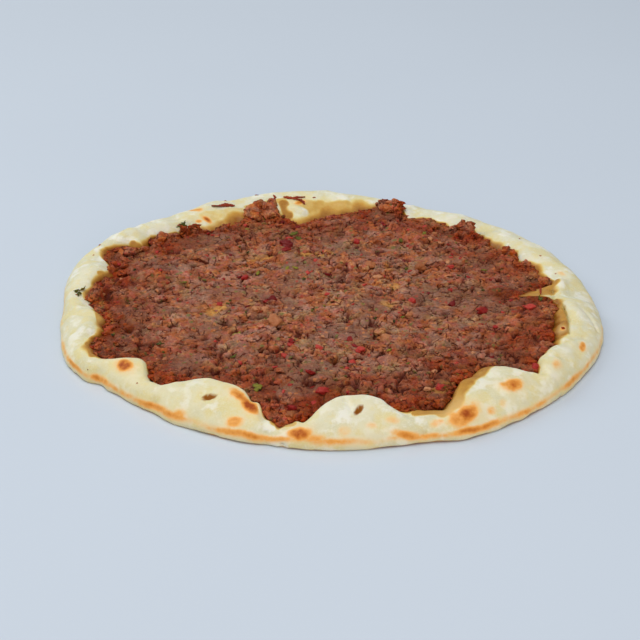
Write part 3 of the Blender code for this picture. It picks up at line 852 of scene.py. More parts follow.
# Blisters: from, to, half width, height.
BLISTERS = (
    (*DRY_BLISTER, 1.6 * MM),
    ((217.6, 112.6), (219.2, 112.4), 4.6 * MM, 0.6 * MM),
    ((294.8, 119.6), (299.8, 119.0), 5.6 * MM, 0.5 * MM),
    ((309.2, 114.6), (314.2, 116.2), 4.4 * MM, 0.6 * MM),
    ((203.5, 121.5), (205.0, 121.0), 6.0 * MM, 0.8 * MM),
    ((147.0, 121.0), (150.0, 121.5), 6.0 * MM, 0.9 * MM),
    ((323.0, 117.0), (326.0, 117.5), 5.5 * MM, 0.8 * MM),
    ((2.0, 110.0), (6.5, 111.5), 4.6 * MM, 1.5 * MM),
    ((354.0, 112.5), (348.0, 116.0), 4.6 * MM, 0.9 * MM),
    ((195.0, 114.5), (199.0, 116.0), 5.0 * MM, 0.9 * MM),
    ((183.0, 119.0), (186.0, 119.5), 5.5 * MM, 0.8 * MM),
    ((337.0, 114.0), (335.0, 118.0), 4.0 * MM, 0.7 * MM),
)
# Pin holes, pricked before baking: from, to, half width, depth.
PIN_HOLES = (
    ((241.6, 109.8), (243.1, 108.4), 1.9 * MM, 1.2 * MM),
    ((275.4, 109.8), (276.6, 106.8), 1.6 * MM, 1.4 * MM),
)
# Swells of the dough as it baked: height, length, seed.
DOUGH_SWELLS = (
    (0.6 * MM, 24 * MM, 11),
    (0.5 * MM, 10 * MM, 12),
    (0.26 * MM, 5 * MM, 23),
    (0.1 * MM, 2.6 * MM, 13),
)
# Those of them that show in its colour, as painted light and shade, with how much each counts.
COLOURED_SWELLS = ((0.5, 10 * MM, 12), (0.5, 5 * MM, 23))
PULLED = 0.22 * MM  # height of the wrinkles where the dough was pulled inwards
PULLED_SHAPE = (1 / 2.6, 1 / 14, 1)  # they are 2.6 mm wide and 14 mm long
DEGREE = 2.2  # length of a degree of the rim, in mm
UNDER_RELIEF = 0.35  # how much of the relief the underside has
# How far a toasted spot and the paler ring round it reach, by the spot's size, and how toasted
# the ring is, by the spot.
SPOT_SPREAD, HALO_SPREAD, HALO = 0.85, 1.6, 0.3
# Brown bands along the lower edge: strength, height, spread.
EDGE_BANDS = ((0.36, 3.0 * MM, 2.0 * MM), (0.34, 3.9 * MM, 1.1 * MM))
UNDER_BROWN, UNDER_MIDDLE_BROWN = 0.45, 0.4  # how toasted the underside is, and its middle


def dough_relief(plain, run):
    """How far the dough stands out from its plain shape, and its marks of painted shade
    for the creases and the pin holes.
    """
    height = swells(plain, DOUGH_SWELLS)
    pulled = soft_step(ripple(plain, 30 * MM, 14), -0.1, 0.6)
    height = height + PULLED * pulled * ripple(run * PULLED_SHAPE, MM, 15)
    crease_shade = np.zeros(height.shape)
    for start, end, width, depth, shade in CREASES:
        close = near_on_bread(plain, start, end, width)
        height = height - depth * close ** 1.5
        crease_shade = np.maximum(crease_shade, shade * soft_step(close, 0.35, 0.9))
    for start, end, width, rise in BLISTERS:
        height = height + rise * soft_step(near_on_bread(plain, start, end, width), 0, 0.9)
    pin_hole_shade = np.zeros(height.shape)
    for start, end, width, depth in PIN_HOLES:
        away = oval(plain, start, end, width)
        height = height - depth * soft_step(-away, -1.0, -0.3)
        # The pin hole's inside is darkened with painted shade.
        pin_hole_shade = np.maximum(pin_hole_shade, soft_step(-away, -1.0, -0.75))
    return height, crease_shade, pin_hole_shade


def toasting(plain, direction, radius, run):
    """How toasted the dough is: in spots, along its lower edge and underneath."""
    toast = np.zeros(radius.shape)
    ragged = 1 + 0.3 * ripple(plain, 6 * MM, 16) + 0.15 * ripple(plain, 2.5 * MM, 17)
    for start, end, width, strength in TOASTED:
        away = oval(plain, start, end, width) * ragged
        toast = np.maximum(toast, strength * np.exp(-(away / SPOT_SPREAD) ** 2.4))
        toast = np.maximum(toast, HALO * strength * np.exp(-(away / HALO_SPREAD) ** 2))
    high = plain[..., 2] + 0.9 * MM * ripple(plain, 9 * MM, 24)
    band = sum(
        strength * np.exp(-((high - middle) / spread) ** 2)
        for strength, middle, spread in EDGE_BANDS
    )
    outer = radius > (rim(direction[0])[1] + 2 * MM)[None, :]
    broken = 0.8 + 0.4 * ripple(plain, 11 * MM, 18) + 0.4 * ripple(run * (0.2, 1, 1), 2.6 * MM, 19)
    edge = of_turn(EDGE_BROWN, direction) * band * np.clip(broken, 0.15, 1.25) * outer
    under = np.where(plain[..., 2] < 0.4 * MM, UNDER_BROWN + 0.3 * ripple(plain, 11 * MM, 20), 0)
    return np.maximum(np.maximum(toast, edge), under)


def soaking(plain, direction, radius):
    """How much fat the dough took up: all along the meat, and where it ran further out."""
    soaked = of_turn(SOAKED, direction, MM) * (1 + 0.3 * ripple(plain, 8 * MM, 21))
    oil = 1 - soft_step((radius - meat_edge(direction[0])) / soaked, 0.1, 1.3)
    ragged = 0.12 * ripple(plain, 3.5 * MM, 22)
    for start, end, width, strength in OILED:
        close = near_on_bread(plain, start, end, width) + ragged
        oil = np.maximum(oil, strength * soft_step(close, 0.05, 0.45))
    return oil * (1 - soft_step(near_on_bread(plain, *DRY_BLISTER), 0.0, 0.6))


def bread():
    """The whole bread: its flat underside, lip, puffed rim and the floor that holds the meat."""
    direction = np.linspace(0, 360, BREAD_STATIONS, endpoint=False)
    radius, heights = bread_section(direction)
    plain = spot_at(direction[None, :], radius, heights)
    direction = np.broadcast_to(direction, radius.shape)
    run = np.stack((direction * DEGREE * MM, radius, 0 * radius), -1)
    height, crease_shade, pin_hole_shade = dough_relief(plain, run)
    oil = soaking(plain, direction, radius)
    oil[:TOP_START] = 0
    height = height * np.where(plain[..., 2] <= 0, UNDER_RELIEF, 1.0)
    rings = plain + ring_normals(plain) * height[..., None]
    ends = np.array([spot_at(0, 0.0), spot_at(0, 0.0, FLOOR)])
    points = np.concatenate((rings.reshape(-1, 3), ends))
    points[:, 2] = np.maximum(points[:, 2], 0)
    # Each mark has two more values, for the middle of the underside and of the floor.
    marks = {
        "toast": (toasting(plain, direction, radius, run), (UNDER_MIDDLE_BROWN, 0)),
        "oil": (oil, (0, 1)),
        "pin_hole_shade": (pin_hole_shade, (0, 0)),
        "crease_shade": (crease_shade, (0, 0)),
        "butter": (of_turn(BUTTERY, direction), (0, 0)),
        "lit_swells": (swells(plain, COLOURED_SWELLS, 0.5), (0, 0)),
    }
    marks = {name: np.append(values, middles) for name, (values, middles) in marks.items()}
    faces = round_faces(*rings.shape[:2])
    return formed("dough", points, faces, DOUGH, ("dough",), "dough", **marks)


bread_piece = bread()

# ------------------------------------------------------------------------- the meat

GRID = 301  # points along each side of the square that is drawn out to the meat's round
MEAT_UNDER = FLOOR + 0.3 * MM  # height of the meat's underside
EDGE_RUN = 4.0 * MM  # how far in from its edge the meat starts to fall
EDGE_LIFT = 0.2 * MM  # how far its edge stands over the bread


def meat_level(points):
    """Height of the meat's plain upper side."""
    levels = np.empty(len(points))
    for number, (x, y) in enumerate(points[:, :2] + MIDDLE[:2]):
        levels[number] = MEAT_LEVEL + sum(
            high * noise.noise(Vector((x / length, y / length, 0)))
            for length, high in MEAT_SWELLS
        )
    return levels


# Long smears of the spoon: from, to, half width.
SMEARS = (
    ((219.0, 92.0), (233.5, 92.0), 8.0 * MM),
    ((252.0, 67.0), (269.5, 67.0), 8.0 * MM),
    ((251.0, 91.0), (269.5, 84.0), 8.0 * MM),
    ((8.0, 66.0), (348.0, 76.0), 9.0 * MM),
    ((268.0, 30.0), (300.0, 34.0), 8.0 * MM),
    ((146.0, 24.0), (110.0, 38.0), 9.0 * MM),
)


def smeared(points):
    """Where the spoon smeared the mince flat, from 0 to 1."""
    smear = soft_step(ripple(points, 15 * MM, 41) + 0.6 * ripple(points, 6 * MM, 42), 0.05, 0.6)
    ragged = 0.3 * ripple(points, 5 * MM, 44)
    for start, end, width in SMEARS:
        close = near_from_above(points, start, end, width, ragged)
        smear = np.maximum(smear, soft_step(close, 0.15, 0.7))
    return smear


def crinkle(points, length, seed):
    """Rounded swells about `length` long between sharp winding creases, from 0 to 1."""
    return np.minimum(np.abs(ripple(points, length, seed)) * 2.4, 1) ** 0.7


CLOD_SIZE, GRAIN_SIZE = 6.0 * MM, 2.7 * MM
# The relief of the kneaded mince, in mm: how high its swells are, how domed a clod or a grain is
# and how far it stands above others, and how deep a crack is or a crumb that dropped out.
SWELL, GRIT = 0.8, 0.2
CLOD_DOME, CLOD_STEP = 1.1, 0.9
GRAIN_DOME, GRAIN_STEP = 0.55, 0.35
STRAND, THREAD = 0.5, 0.3
CRACK_DEPTH, DROPPED_DEPTH = 1.9, 1.6


def kneaded(points):
    """Relief of kneaded mince, in metres, and the marks that go with it.

    Clods about six millimetres across have pulled apart in thin cracks. Between the smeared
    patches they crumble into grains of two or three, and crumbs have dropped out here and there.
    """
    # Everything winds, and is drawn out from side to side a little.
    warped = points + wandering(points, 2.4 * MM, 5.0 * MM, (31, 32, 33))
    warped = warped + wandering(points, 0.7 * MM, 1.6 * MM, (34, 35, 36))
    smear = smeared(points)
    crumbly = 1 - 0.7 * smear
    clod_seam, clod_top, clod_level = grains(warped * (0.8, 1, 1), CLOD_SIZE, 37)
    seam, top, level = grains(warped * (0.8, 1.05, 1), GRAIN_SIZE, 38)
    broken = soft_step(ripple(points, 7 * MM, 45), -0.1, 0.4)
    crack = (1 - soft_step(clod_seam, 0.02, 0.2)) * broken
    dropped = soft_step(level, 0.955, 0.97) * crumbly
    strands = crinkle(warped * (0.7, 1, 1), 3.4 * MM, 47)
    threads = crinkle(warped * (0.75, 1, 1), 1.5 * MM, 48)
    relief = SWELL * ripple(points, 11 * MM, 39)
    relief = relief + CLOD_DOME * (clod_top - 0.5) + CLOD_STEP * (clod_level - 0.5)
    relief = relief - CRACK_DEPTH * crack
    relief = relief + crumbly * (STRAND * (strands - 0.6) + THREAD * (threads - 0.6))
    relief = relief + crumbly * (GRAIN_DOME * (top - 0.5) + GRAIN_STEP * (level - 0.5))
    relief = relief + GRIT * ripple(points, 1.6 * MM, 43) - DROPPED_DEPTH * dropped
    # Cracks, gaps and dropped crumbs are marked darker: partly fat, partly painted shade.
    gap = crumbly * (1 - soft_step(strands, 0, 0.4)) * (1 - soft_step(seam, 0.05, 0.45))
    juice_and_shade = 0.95 * crack + 0.8 * gap
    marks = {
        "tone": 0.4 * clod_level + 0.6 * level,
        "juice_and_shade": np.clip(juice_and_shade + dropped, 0, 1),
        "smear": smear,
    }
    return relief * MM, marks


RUSTY_EDGE, BROWNED_EDGE = 10 * MM, 46 * MM  # how far in from the meat's edge each reaches


def meat_rust(points):
    """How rusty and fried the meat is: most at its edge, and in patches."""
    direction, radius = polar(points)
    inward = (meat_edge(direction) - radius) / RUSTY_EDGE
    edge = np.clip(1 - inward, 0, 1) ** 1.5 * (0.8 + 0.6 * ripple(points, 5 * MM, 53))
    patches = ripple(points, 12 * MM, 51) + 0.7 * ripple(points, 3.5 * MM, 52)
    return np.clip(0.9 * edge + 0.75 * soft_step(patches, 0.4, 1.05), 0, 1)


def browned_edge(points):
    """How much darker the meat is towards its edge, from 0 to 1."""
    direction, radius = polar(points)
    inward = (meat_edge(direction) - radius) / BROWNED_EDGE
    return np.clip(1 - inward + 0.35 * ripple(points, 9 * MM, 54), 0, 1) ** 1.4


# Pits that dropped crumbs have left: direction, radius in mm.
PITS = (
    (162.4, 43.6), (132.9, 74.9), (65.5, 16.8), (31.2, 35.9), (21.1, 42.6), (317.2, 43.4),
    (273.3, 38.2), (283.6, 48.8), (78.9, 54.7), (85.0, 70.8), (271.8, 63.7), (248.6, 66.4),
    (284.6, 92.1), (314.3, 63.7), (200.8, 96.4), (180.3, 103.7), (215.4, 69.0), (188.3, 32.1),
)
# Deep gaps between clods: from, to, half width, depth.
GAPS = tuple((pit, pit, 2.6 * MM, 2.2 * MM) for pit in PITS) + (
    ((176.5, 105.6), (181.0, 105.4), 3.2 * MM, 2.6 * MM),
    ((263.3, 82.0), (263.9, 82.0), 2.6 * MM, 3.0 * MM),
    ((271.5, 60.6), (272.4, 59.0), 2.4 * MM, 3.0 * MM),
)
# Hollows of the meat where its fat has pooled: from, to, half width, strength.
POOLS = (
    ((196.0, 57.0), (191.0, 51.0), 5.0 * MM, 1.0),
    ((135.0, 62.0), (125.0, 54.0), 4.0 * MM, 0.8),
    ((106.0, 46.0), (92.0, 45.0), 4.5 * MM, 0.9),
    ((26.0, 38.0), (18.0, 33.0), 4.0 * MM, 0.8),
    ((342.0, 30.0), (343.0, 26.0), 3.2 * MM, 0.7),
    ((234.0, 38.0), (231.0, 35.0), 3.0 * MM, 0.6),
    ((50.0, 45.0), (46.0, 42.0), 2.8 * MM, 0.6),
    ((296.5, 100.0), (301.0, 96.5), 5.0 * MM, 0.5),
    ((184.0, 108.0), (195.0, 104.0), 3.0 * MM, 0.5),
)
POOL_DEPTH = 0.8 * MM
EDGE_RELIEF = 0.35  # how much more relief the meat has where it is fully browned
SKIRT = ((1.2 * MM, 0.2 * MM), (2.6 * MM, 1.2 * MM), (9 * MM, 4 * MM))  # how far down and inwards


def round_from_square(count):
    """Directions, and shares of the edge's radius, of a square grid drawn out to a round."""
    steps = np.linspace(-1, 1, count)
    across, along = np.meshgrid(steps, steps, indexing="ij")
    share = np.maximum(np.abs(across), np.abs(along))
    wide = np.abs(across) > np.abs(along)
    with np.errstate(divide="ignore", invalid="ignore"):
        near_x = along / across * math.pi / 4 + math.pi * (across < 0)
        near_y = math.pi / 2 - across / along * math.pi / 4 + math.pi * (along < 0)
    turned = np.where(share == 0, 0, np.where(wide, near_x, near_y))
    return np.degrees(turned.ravel()) % 360, share.ravel()


def plain_meat(direction, share):
    """The meat's plain upper side, which falls to the bread at its edge."""
    edge = meat_edge(direction)
    top = spot_at(direction, edge * share)
    around = np.linspace(0, 360, 4 * 360 + 1)  # four to a degree
    rest = np.interp(direction, around, surface_height(around, meat_edge(around))) + EDGE_LIFT
    inner = 1 - EDGE_RUN / edge
    round_off = np.sqrt(1 - np.clip((share - inner) / (1 - inner), 0, 1) ** 2)
    top[:, 2] = rest + (meat_level(top) - rest) * round_off
    return top


def hollowed(top, relief, marks):
    """The relief with its gaps and its pools of fat sunk in, which are marked too: the gaps
    with painted shade, the pools with the colour of fat.
    """
    ragged = 0.3 * ripple(top, 2.2 * MM, 56)
    for start, end, width, depth in GAPS:
        close = near_from_above(top, start, end, width, ragged)
        relief = relief - depth * soft_step(close, 0.0, 0.7)
        # Each gap is darkened with painted shade.
        marks["juice_and_shade"] = np.maximum(marks["juice_and_shade"], 0.9 * soft_step(close, 0.1, 0.9))
    marks["pooled"] = 0 * relief
    ragged = 0.35 * ripple(top, 2.5 * MM, 55)
    for start, end, width, strength in POOLS:
        close = near_from_above(top, start, end, width, ragged)
        marks["pooled"] = np.maximum(marks["pooled"], strength * soft_step(close, 0, 0.9))
    return relief * (1 + EDGE_RELIEF * marks["browned"]) - POOL_DEPTH * marks["pooled"]


def meat():
    """The spread of mince, out to its uneven edge and pressed against the folds of the rim."""
    direction, share = round_from_square(GRID)
    top = plain_meat(direction, share)
    rows = top.reshape(GRID, GRID, 3)
    normals = unit(np.cross(np.gradient(rows, axis=0), np.gradient(rows, axis=1)).reshape(-1, 3))
    relief, marks = kneaded(top)
    marks["rust"] = meat_rust(top)
    marks["browned"] = browned_edge(top)
    relief = hollowed(top, relief, marks)
    top = top + normals * (relief * (1 - 0.5 * soft_step(share, 0.985, 1.0)))[:, None]
    grid = np.arange(GRID * GRID).reshape(GRID, GRID)
    quads = np.stack((grid[:-1, :-1], grid[1:, :-1], grid[1:, 1:], grid[:-1, 1:]), -1)
    loop = np.concatenate((grid[:-1, 0], grid[-1, :-1], grid[:0:-1, -1], grid[0, :0:-1]))
    outward = unit(top[loop, :2] + MIDDLE[:2])
    skirt = []
    for drop, inwards in SKIRT:
        lower = top[loop].copy()
        lower[:, :2] -= outward * inwards
        lower[:, 2] = np.maximum(lower[:, 2] - drop, MEAT_UNDER)
        skirt.append(lower)
    size = len(loop)
    rims = [loop] + [len(top) + size * step + np.arange(size) for step in range(len(SKIRT))]
    sides = [
        np.stack((upper, lower, np.roll(lower, -1), np.roll(upper, -1)), -1)
        for upper, lower in zip(rims[:-1], rims[1:])
    ]
    under = np.full(size, len(top) + size * len(SKIRT))  # the middle of the underside
    fan = np.stack((rims[-1], under, np.roll(rims[-1], -1)), -1)
    points = np.concatenate((top, *skirt, [spot_at(0, 0.0, MEAT_UNDER)]))
    marks = {
        name: np.concatenate((values, np.tile(values[loop], len(SKIRT)), [0.5]))
        for name, values in marks.items()
    }
    faces = [quads.reshape(-1, 4), *sides, fan]
    return formed("meat_topping", points, faces, MINCE, ("meat_topping",), "meat", **marks)


meat_piece = meat()

# ------------------------------------------------------------------------- loose on the meat

ABOVE_ALL = 0.1  # height that the pieces are looked down on from
DOWN = (0, 0, -1)


def height_of(pieces, points):
    """Height of the uppermost of some pieces at each point."""
    heights = np.zeros(len(points))
    for number, (x, y) in enumerate(points[:, :2]):
        for piece in pieces:
            hit, place, _, _ = piece.ray_cast((x, y, ABOVE_ALL), DOWN)
            if hit:
                heights[number] = max(heights[number], place.z)
    return heights


def turned_about(points, turns, leans):
    """Points of many small pieces, each leant over and then turned about the vertical."""
    lean_cos, lean_sin = np.cos(leans)[:, None], np.sin(leans)[:, None]
    x, y, z = points[..., 0], points[..., 1], points[..., 2]
    y, z = y * lean_cos - z * lean_sin, y * lean_sin + z * lean_cos
    turn_cos, turn_sin = np.cos(turns)[:, None], np.sin(turns)[:, None]
    return np.stack((x * turn_cos - y * turn_sin, x * turn_sin + y * turn_cos, z), -1)


KNOBS_ACROSS, FINE_KNOBS_ACROSS = 3.4, 7.3  # how many knobs lie across a lump


def knobbly(spots, sizes, turns, leans, steps, knob, squareness, seed):
    """Points and faces of knobbly lumps, how high in its own lump each point lies, and how many
    points a lump has."""
    body, faces = ball(steps)
    count = len(spots)
    if squareness:
        boxed = np.sign(body) * np.abs(body * 2) ** (1 - squareness) / 2
        body = boxed * (0.5 / np.abs(boxed).max())
    own = np.random.default_rng(seed).uniform(0, 60, (count, 1, 3))
    shape = np.broadcast_to(body, (count, *body.shape))
    bumps = ripple(shape * KNOBS_ACROSS + own, 1.0, seed)
    bumps = bumps + 0.5 * ripple(shape * FINE_KNOBS_ACROSS + own, 1.0, seed + 1)
    shape = shape * (1 + knob * bumps[..., None]) * sizes[:, None, :]
    points = turned_about(shape, turns, leans) + spots[:, None, :]
    lift = np.clip((points[..., 2] - spots[:, None, 2]) / sizes[:, None, 2] + 0.5, 0, 1)
    every = (faces[None] + (np.arange(count) * len(body))[:, None, None]).reshape(-1, 3)
    return points.reshape(-1, 3), every, lift.ravel(), len(body)


def meat_spots(count, random, inset):
    """Spots strewn evenly over the meat, as far in from its edge as `inset`."""
    direction = random.uniform(0, 360, count)
    radius = (meat_edge(direction) - inset) * np.sqrt(random.uniform(0, 1, count))
    return spot_at(direction, radius)


CRUMBS_SUNK = 0.62  # share of its height that a loose crumb is sunk in
CRUMB_KNOBS = 0.6  # height of its knobs, by its size


def strew(name, spots, lengths, widths, heights, random, steps, fried):
    """One piece of many lumps of mince that lie where they dropped."""
    sizes = np.stack((lengths, widths, heights), -1)
    spots = spots.copy()
    spots[:, 2] = height_of(UNDER_CRUMBS, spots) + heights * (0.5 - CRUMBS_SUNK)
    turns = random.uniform(0, 2 * math.pi, len(spots))
    leans = random.normal(0, 0.25, len(spots))
    points, faces, lift, each = knobbly(
        spots, sizes, turns, leans, steps, knob=CRUMB_KNOBS, squareness=0,
        seed=int(random.integers(1000)))
    own_tone = np.repeat(random.uniform(0, 1, len(spots)), each)
    rust = meat_rust(spots) + random.normal(0, 0.12, len(spots)) + fried
    grainy = ripple(points, 1.2 * MM, 61)
    marks = {
        "tone": 0.75 * own_tone + 0.25 * (grainy + 1) / 2,
        # Each crumb darkens towards its foot: painted shade where it sits in the meat.
        "juice_and_shade": 0.35 * np.clip(0.75 - 1.6 * lift, 0, 1),
        "smear": 0 * lift,
        "rust": np.repeat(np.clip(rust, 0, 1), each),
        "browned": browned_edge(points),
    }
    return formed(name, points, [faces], MINCE, (), "meat", **marks)


# Clods of mince on the rim or by it, each of one or more lumps: direction, distance, length along
# the rim, width and height, in mm.
CLODS = {
    "clump_back": (
        (112.6, 102.5, 10.0, 13.0, 4.4), (107.6, 101.5, 9.0, 14.0, 5.0),
        (110.0, 108.5, 6.0, 5.0, 3.6), (106.4, 107.5, 5.0, 5.0, 3.6),
    ),
    "crumb_back": (
        (72.6, 105.0, 9.0, 8.0, 4.0), (70.2, 107.5, 8.0, 7.0, 4.8), (74.6, 108.5, 6.0, 5.0, 3.4),
    ),
    "crumb_back_right": (
        (47.8, 102.0, 5.5, 6.0, 4.8), (45.3, 103.0, 5.0, 5.0, 5.2),
    ),
    "crumb_right": (
        (25.6, 101.0, 9.0, 4.0, 3.4), (28.2, 100.0, 4.0, 4.0, 2.8),
    ),
    "crumb_back_left": (
        (136.0, 102.6, 5.4, 6.2, 5.4), (133.3, 101.5, 4.4, 5.0, 4.6),
    ),
}
CLOD_CUT, CLOD_HEIGHT = 0.32, 0.82  # share of a lump that is left under its middle, and in all
CLOD_SUNK = 0.6 * MM  # how far a clod is pressed in
CLOD_KNOBS = ((0.22, 4.0, 71), (0.1, 9.0, 72))  # height by size, how many across a lump, seed
CLOD_RELIEF = 0.6  # share of the spread's relief that a clod has


def clod(name, table):
    """A clod of mince that lies where it fell, lump stuck to lump."""
    body, faces = ball(5)
    parts, lows = [], []
    for number, (direction, distance, length, width, height) in enumerate(table):
        middle = spot_at(direction, distance * MM)
        own = middle * 900  # far enough from lump to lump that none is like another
        knob = sum(
            high * ripple(body * across + own, 1.0, seed + number)
            for high, across, seed in CLOD_KNOBS
        )
        shape = body * (1 + knob[:, None])
        above = np.maximum(shape[:, 2] + CLOD_CUT, 0) * height * MM / CLOD_HEIGHT
        turned = math.radians(direction + 90)
        x, y = shape[:, 0] * length * MM, shape[:, 1] * width * MM
        points = np.stack((
            middle[0] + x * math.cos(turned) - y * math.sin(turned),
            middle[1] + x * math.sin(turned) + y * math.cos(turned),
            above,
        ), -1)
        points[:, 2] += height_of((bread_piece, meat_piece), points) - CLOD_SUNK
        parts.append(points)
        lows.append(np.clip(0.8 - above / (1.6 * MM), 0, 1))
    points = np.concatenate(parts)
    low = np.concatenate(lows)
    relief, marks = kneaded(points)
    outward = unit(points - np.repeat([part.mean(0) for part in parts], len(body), axis=0))
    points = points + outward * relief[:, None] * CLOD_RELIEF
    every = np.concatenate([faces + number * len(body) for number in range(len(parts))])
    # The clod darkens low down: painted shade where it sits on the bread.
    marks["juice_and_shade"] = np.clip(marks["juice_and_shade"] + 0.7 * low, 0, 1)
    marks["rust"] = np.clip(0.6 + 0.5 * ripple(points, 3 * MM, 73), 0, 1)
    marks["smear"] = 0 * low
    marks["browned"] = 0 * low + 0.4
    return formed(name, points, [every], MINCE, (name,), "meat", **marks)


clods = [clod(name, table) for name, table in CLODS.items()]
UNDER_CRUMBS = (bread_piece, meat_piece, *clods)  # what the loose pieces lie on

# How many grains and crumbs are tried on the spread, how many of those off its smears are kept,
# and how many more lie along its edge.
GRAINS_TRIED, GRAINS_KEPT, EDGE_GRAINS = 6000, 600, 500
CRUMBS_TRIED, CRUMBS_KEPT, EDGE_CRUMBS = 1500, 190, 130
# Grains that have dropped on the rim: direction, distance, size, in mm.
RIM_CRUMBS = (
    (154.8, 127.5, 1.4), (159.8, 124.9, 1.0), (146.4, 126.6, 1.3), (23.3, 101.3, 1.2),
    (26.4, 104.8, 1.1), (341.7, 110.9, 1.5), (108.6, 121.0, 1.4), (104.6, 114.5, 1.8),
    (117.0, 121.5, 0.9), (211.5, 124.0, 0.6), (224.6, 115.5, 0.6), (32.0, 114.0, 1.0),
    (179.5, 119.5, 1.2), (94.0, 112.0, 1.3), (21.0, 112.0, 1.2), (12.0, 112.5, 1.0),
)


def off_smears(count, kept, inset, share, random):
    """Spots on the spread, most of those on its smears left out."""
    spots = meat_spots(count, random, inset)
    return spots[random.uniform(0, 1, len(spots)) > share * smeared(spots)][:kept]


def edge_spots(count, inset, spread, random):
    """Spots along the meat's edge, about `inset` in from it, in mm."""
    direction = random.uniform(0, 360, count)
    edge = meat_edge(direction) - np.abs(random.normal(inset, spread, count)) * MM
    return spot_at(direction, edge)


def crumbs():
    """Grains and crumbs of mince that stand loose on the spread and along its edge."""
    random = np.random.default_rng(64)
    on_meat = off_smears(GRAINS_TRIED, GRAINS_KEPT, inset=2 * MM, share=0.9, random=random)
    small = random.uniform(1.3, 2.6, len(on_meat)) * MM
    by_edge = edge_spots(EDGE_GRAINS, inset=1.2, spread=2.2, random=random)
    small = np.append(small, random.uniform(1.4, 3.2, EDGE_GRAINS) * MM)
    on_rim = np.array(RIM_CRUMBS, float)
    small = np.append(small, on_rim[:, 2] * MM)
    spots = np.concatenate((on_meat, by_edge, spot_at(on_rim[:, 0], on_rim[:, 1] * MM)))
    lengths = small * random.uniform(1.0, 1.7, len(small))
    widths = small * random.uniform(0.75, 1.1, len(small))
    heights = small * random.uniform(0.5, 0.75, len(small))
    strew("meat_grains", spots, lengths, widths, heights, random, steps=2, fried=0.0)
    on_meat = off_smears(CRUMBS_TRIED, CRUMBS_KEPT, inset=3 * MM, share=0.95, random=random)
    by_edge = edge_spots(EDGE_CRUMBS, inset=2.4, spread=2.0, random=random)
    spots = np.concatenate((on_meat, by_edge))
    large = random.uniform(2.4, 4.6, len(spots)) * MM
    lengths = large * random.uniform(1.0, 1.5, len(large))
    widths = large * random.uniform(0.75, 1.0, len(large))
    heights = large * random.uniform(0.45, 0.65, len(large))
    strew("meat_crumbs", spots, lengths, widths, heights, random, steps=3, fried=0.05)


crumbs()

# Single lumps of mince that stand out: direction, distance, length along the rim, width and
# height, in mm.
LUMPS = (
    (179.2, 111.0, 16.0, 5.6, 6.5), (165.2, 110.8, 5.2, 4.8, 4.6), (171.5, 108.5, 7.5, 6.0, 5.0),
    (186.5, 108.0, 7.0, 6.5, 5.0), (153.5, 113.0, 8.5, 10.0, 5.2), (142.0, 107.5, 9.0, 7.0, 5.4),
    (145.0, 110.5, 5.0, 4.6, 5.0), (139.0, 105.0, 6.0, 6.0, 4.6), (206.0, 113.5, 7.0, 5.0, 3.6),
    (259.5, 105.5, 6.0, 4.6, 4.0), (256.5, 102.0, 5.0, 4.0, 3.4), (349.0, 102.0, 7.0, 5.5, 4.4),
    (20.0, 103.5, 5.0, 4.4, 4.2), (14.5, 103.0, 6.0, 5.0, 4.0),
)
LUMPS_SUNK = 0.02  # how far a lump's middle lies under the surface, by its height
LUMP_KNOBS = 0.3  # height of its knobs, by its size
LUMP_RELIEF = 0.4  # share of the spread's relief that a lump has


def lumps():
    """Single lumps of mince, each pressed into the spread or lying at its edge."""
    table = np.array(LUMPS, float)
    spots = spot_at(table[:, 0], table[:, 1] * MM)
    sizes = table[:, 2:] * MM
    spots[:, 2] = height_of(UNDER_CRUMBS, spots) - LUMPS_SUNK * sizes[:, 2]
    turns, leans = np.radians(table[:, 0] + 90), 0 * table[:, 0]
    points, faces, lift, _ = knobbly(
        spots, sizes, turns, leans, steps=5, knob=LUMP_KNOBS, squareness=0, seed=74)
    relief, marks = kneaded(points)
    points = points + LUMP_RELIEF * relief[:, None] * (0, 0, 1)
    marks["rust"] = np.clip(0.5 + 0.5 * ripple(points, 4 * MM, 75), 0, 1)
    marks["smear"] = 0 * lift
    marks["browned"] = 0 * lift + 0.5
    return formed("mince_lumps", points, [faces], MINCE, (), "meat", **marks)


lumps()

# Strips of pepper, dried in the oven: width in mm, then direction and distance along them.
STRIPS = (
    (2.6, ((122.6, 114.6), (120.6, 113.4), (118.6, 113.2), (116.2, 112.8))),
    (2.0, ((102.4, 112.6), (100.6, 112.4), (99.0, 110.8), (97.4, 109.6))),
    (1.6, ((98.6, 110.6), (97.4, 108.2), (97.0, 105.0))),
    (1.2, ((101.4, 111.4), (99.0, 112.2), (96.4, 112.0))),
    (3.2, ((201.0, 109.0), (199.6, 106.0), (198.6, 102.5))),
    (0.9, ((5.6, 101.6), (2.4, 100.2), (359.6, 99.6))),
    (1.6, ((105.8, 111.8), (104.6, 112.8))),
)
STRIP_STEPS = 24
STRIP_SIDES = 8
STRIP_HALF_THICK = 0.3 * MM
STRIP_LIFT = 0.45 * MM


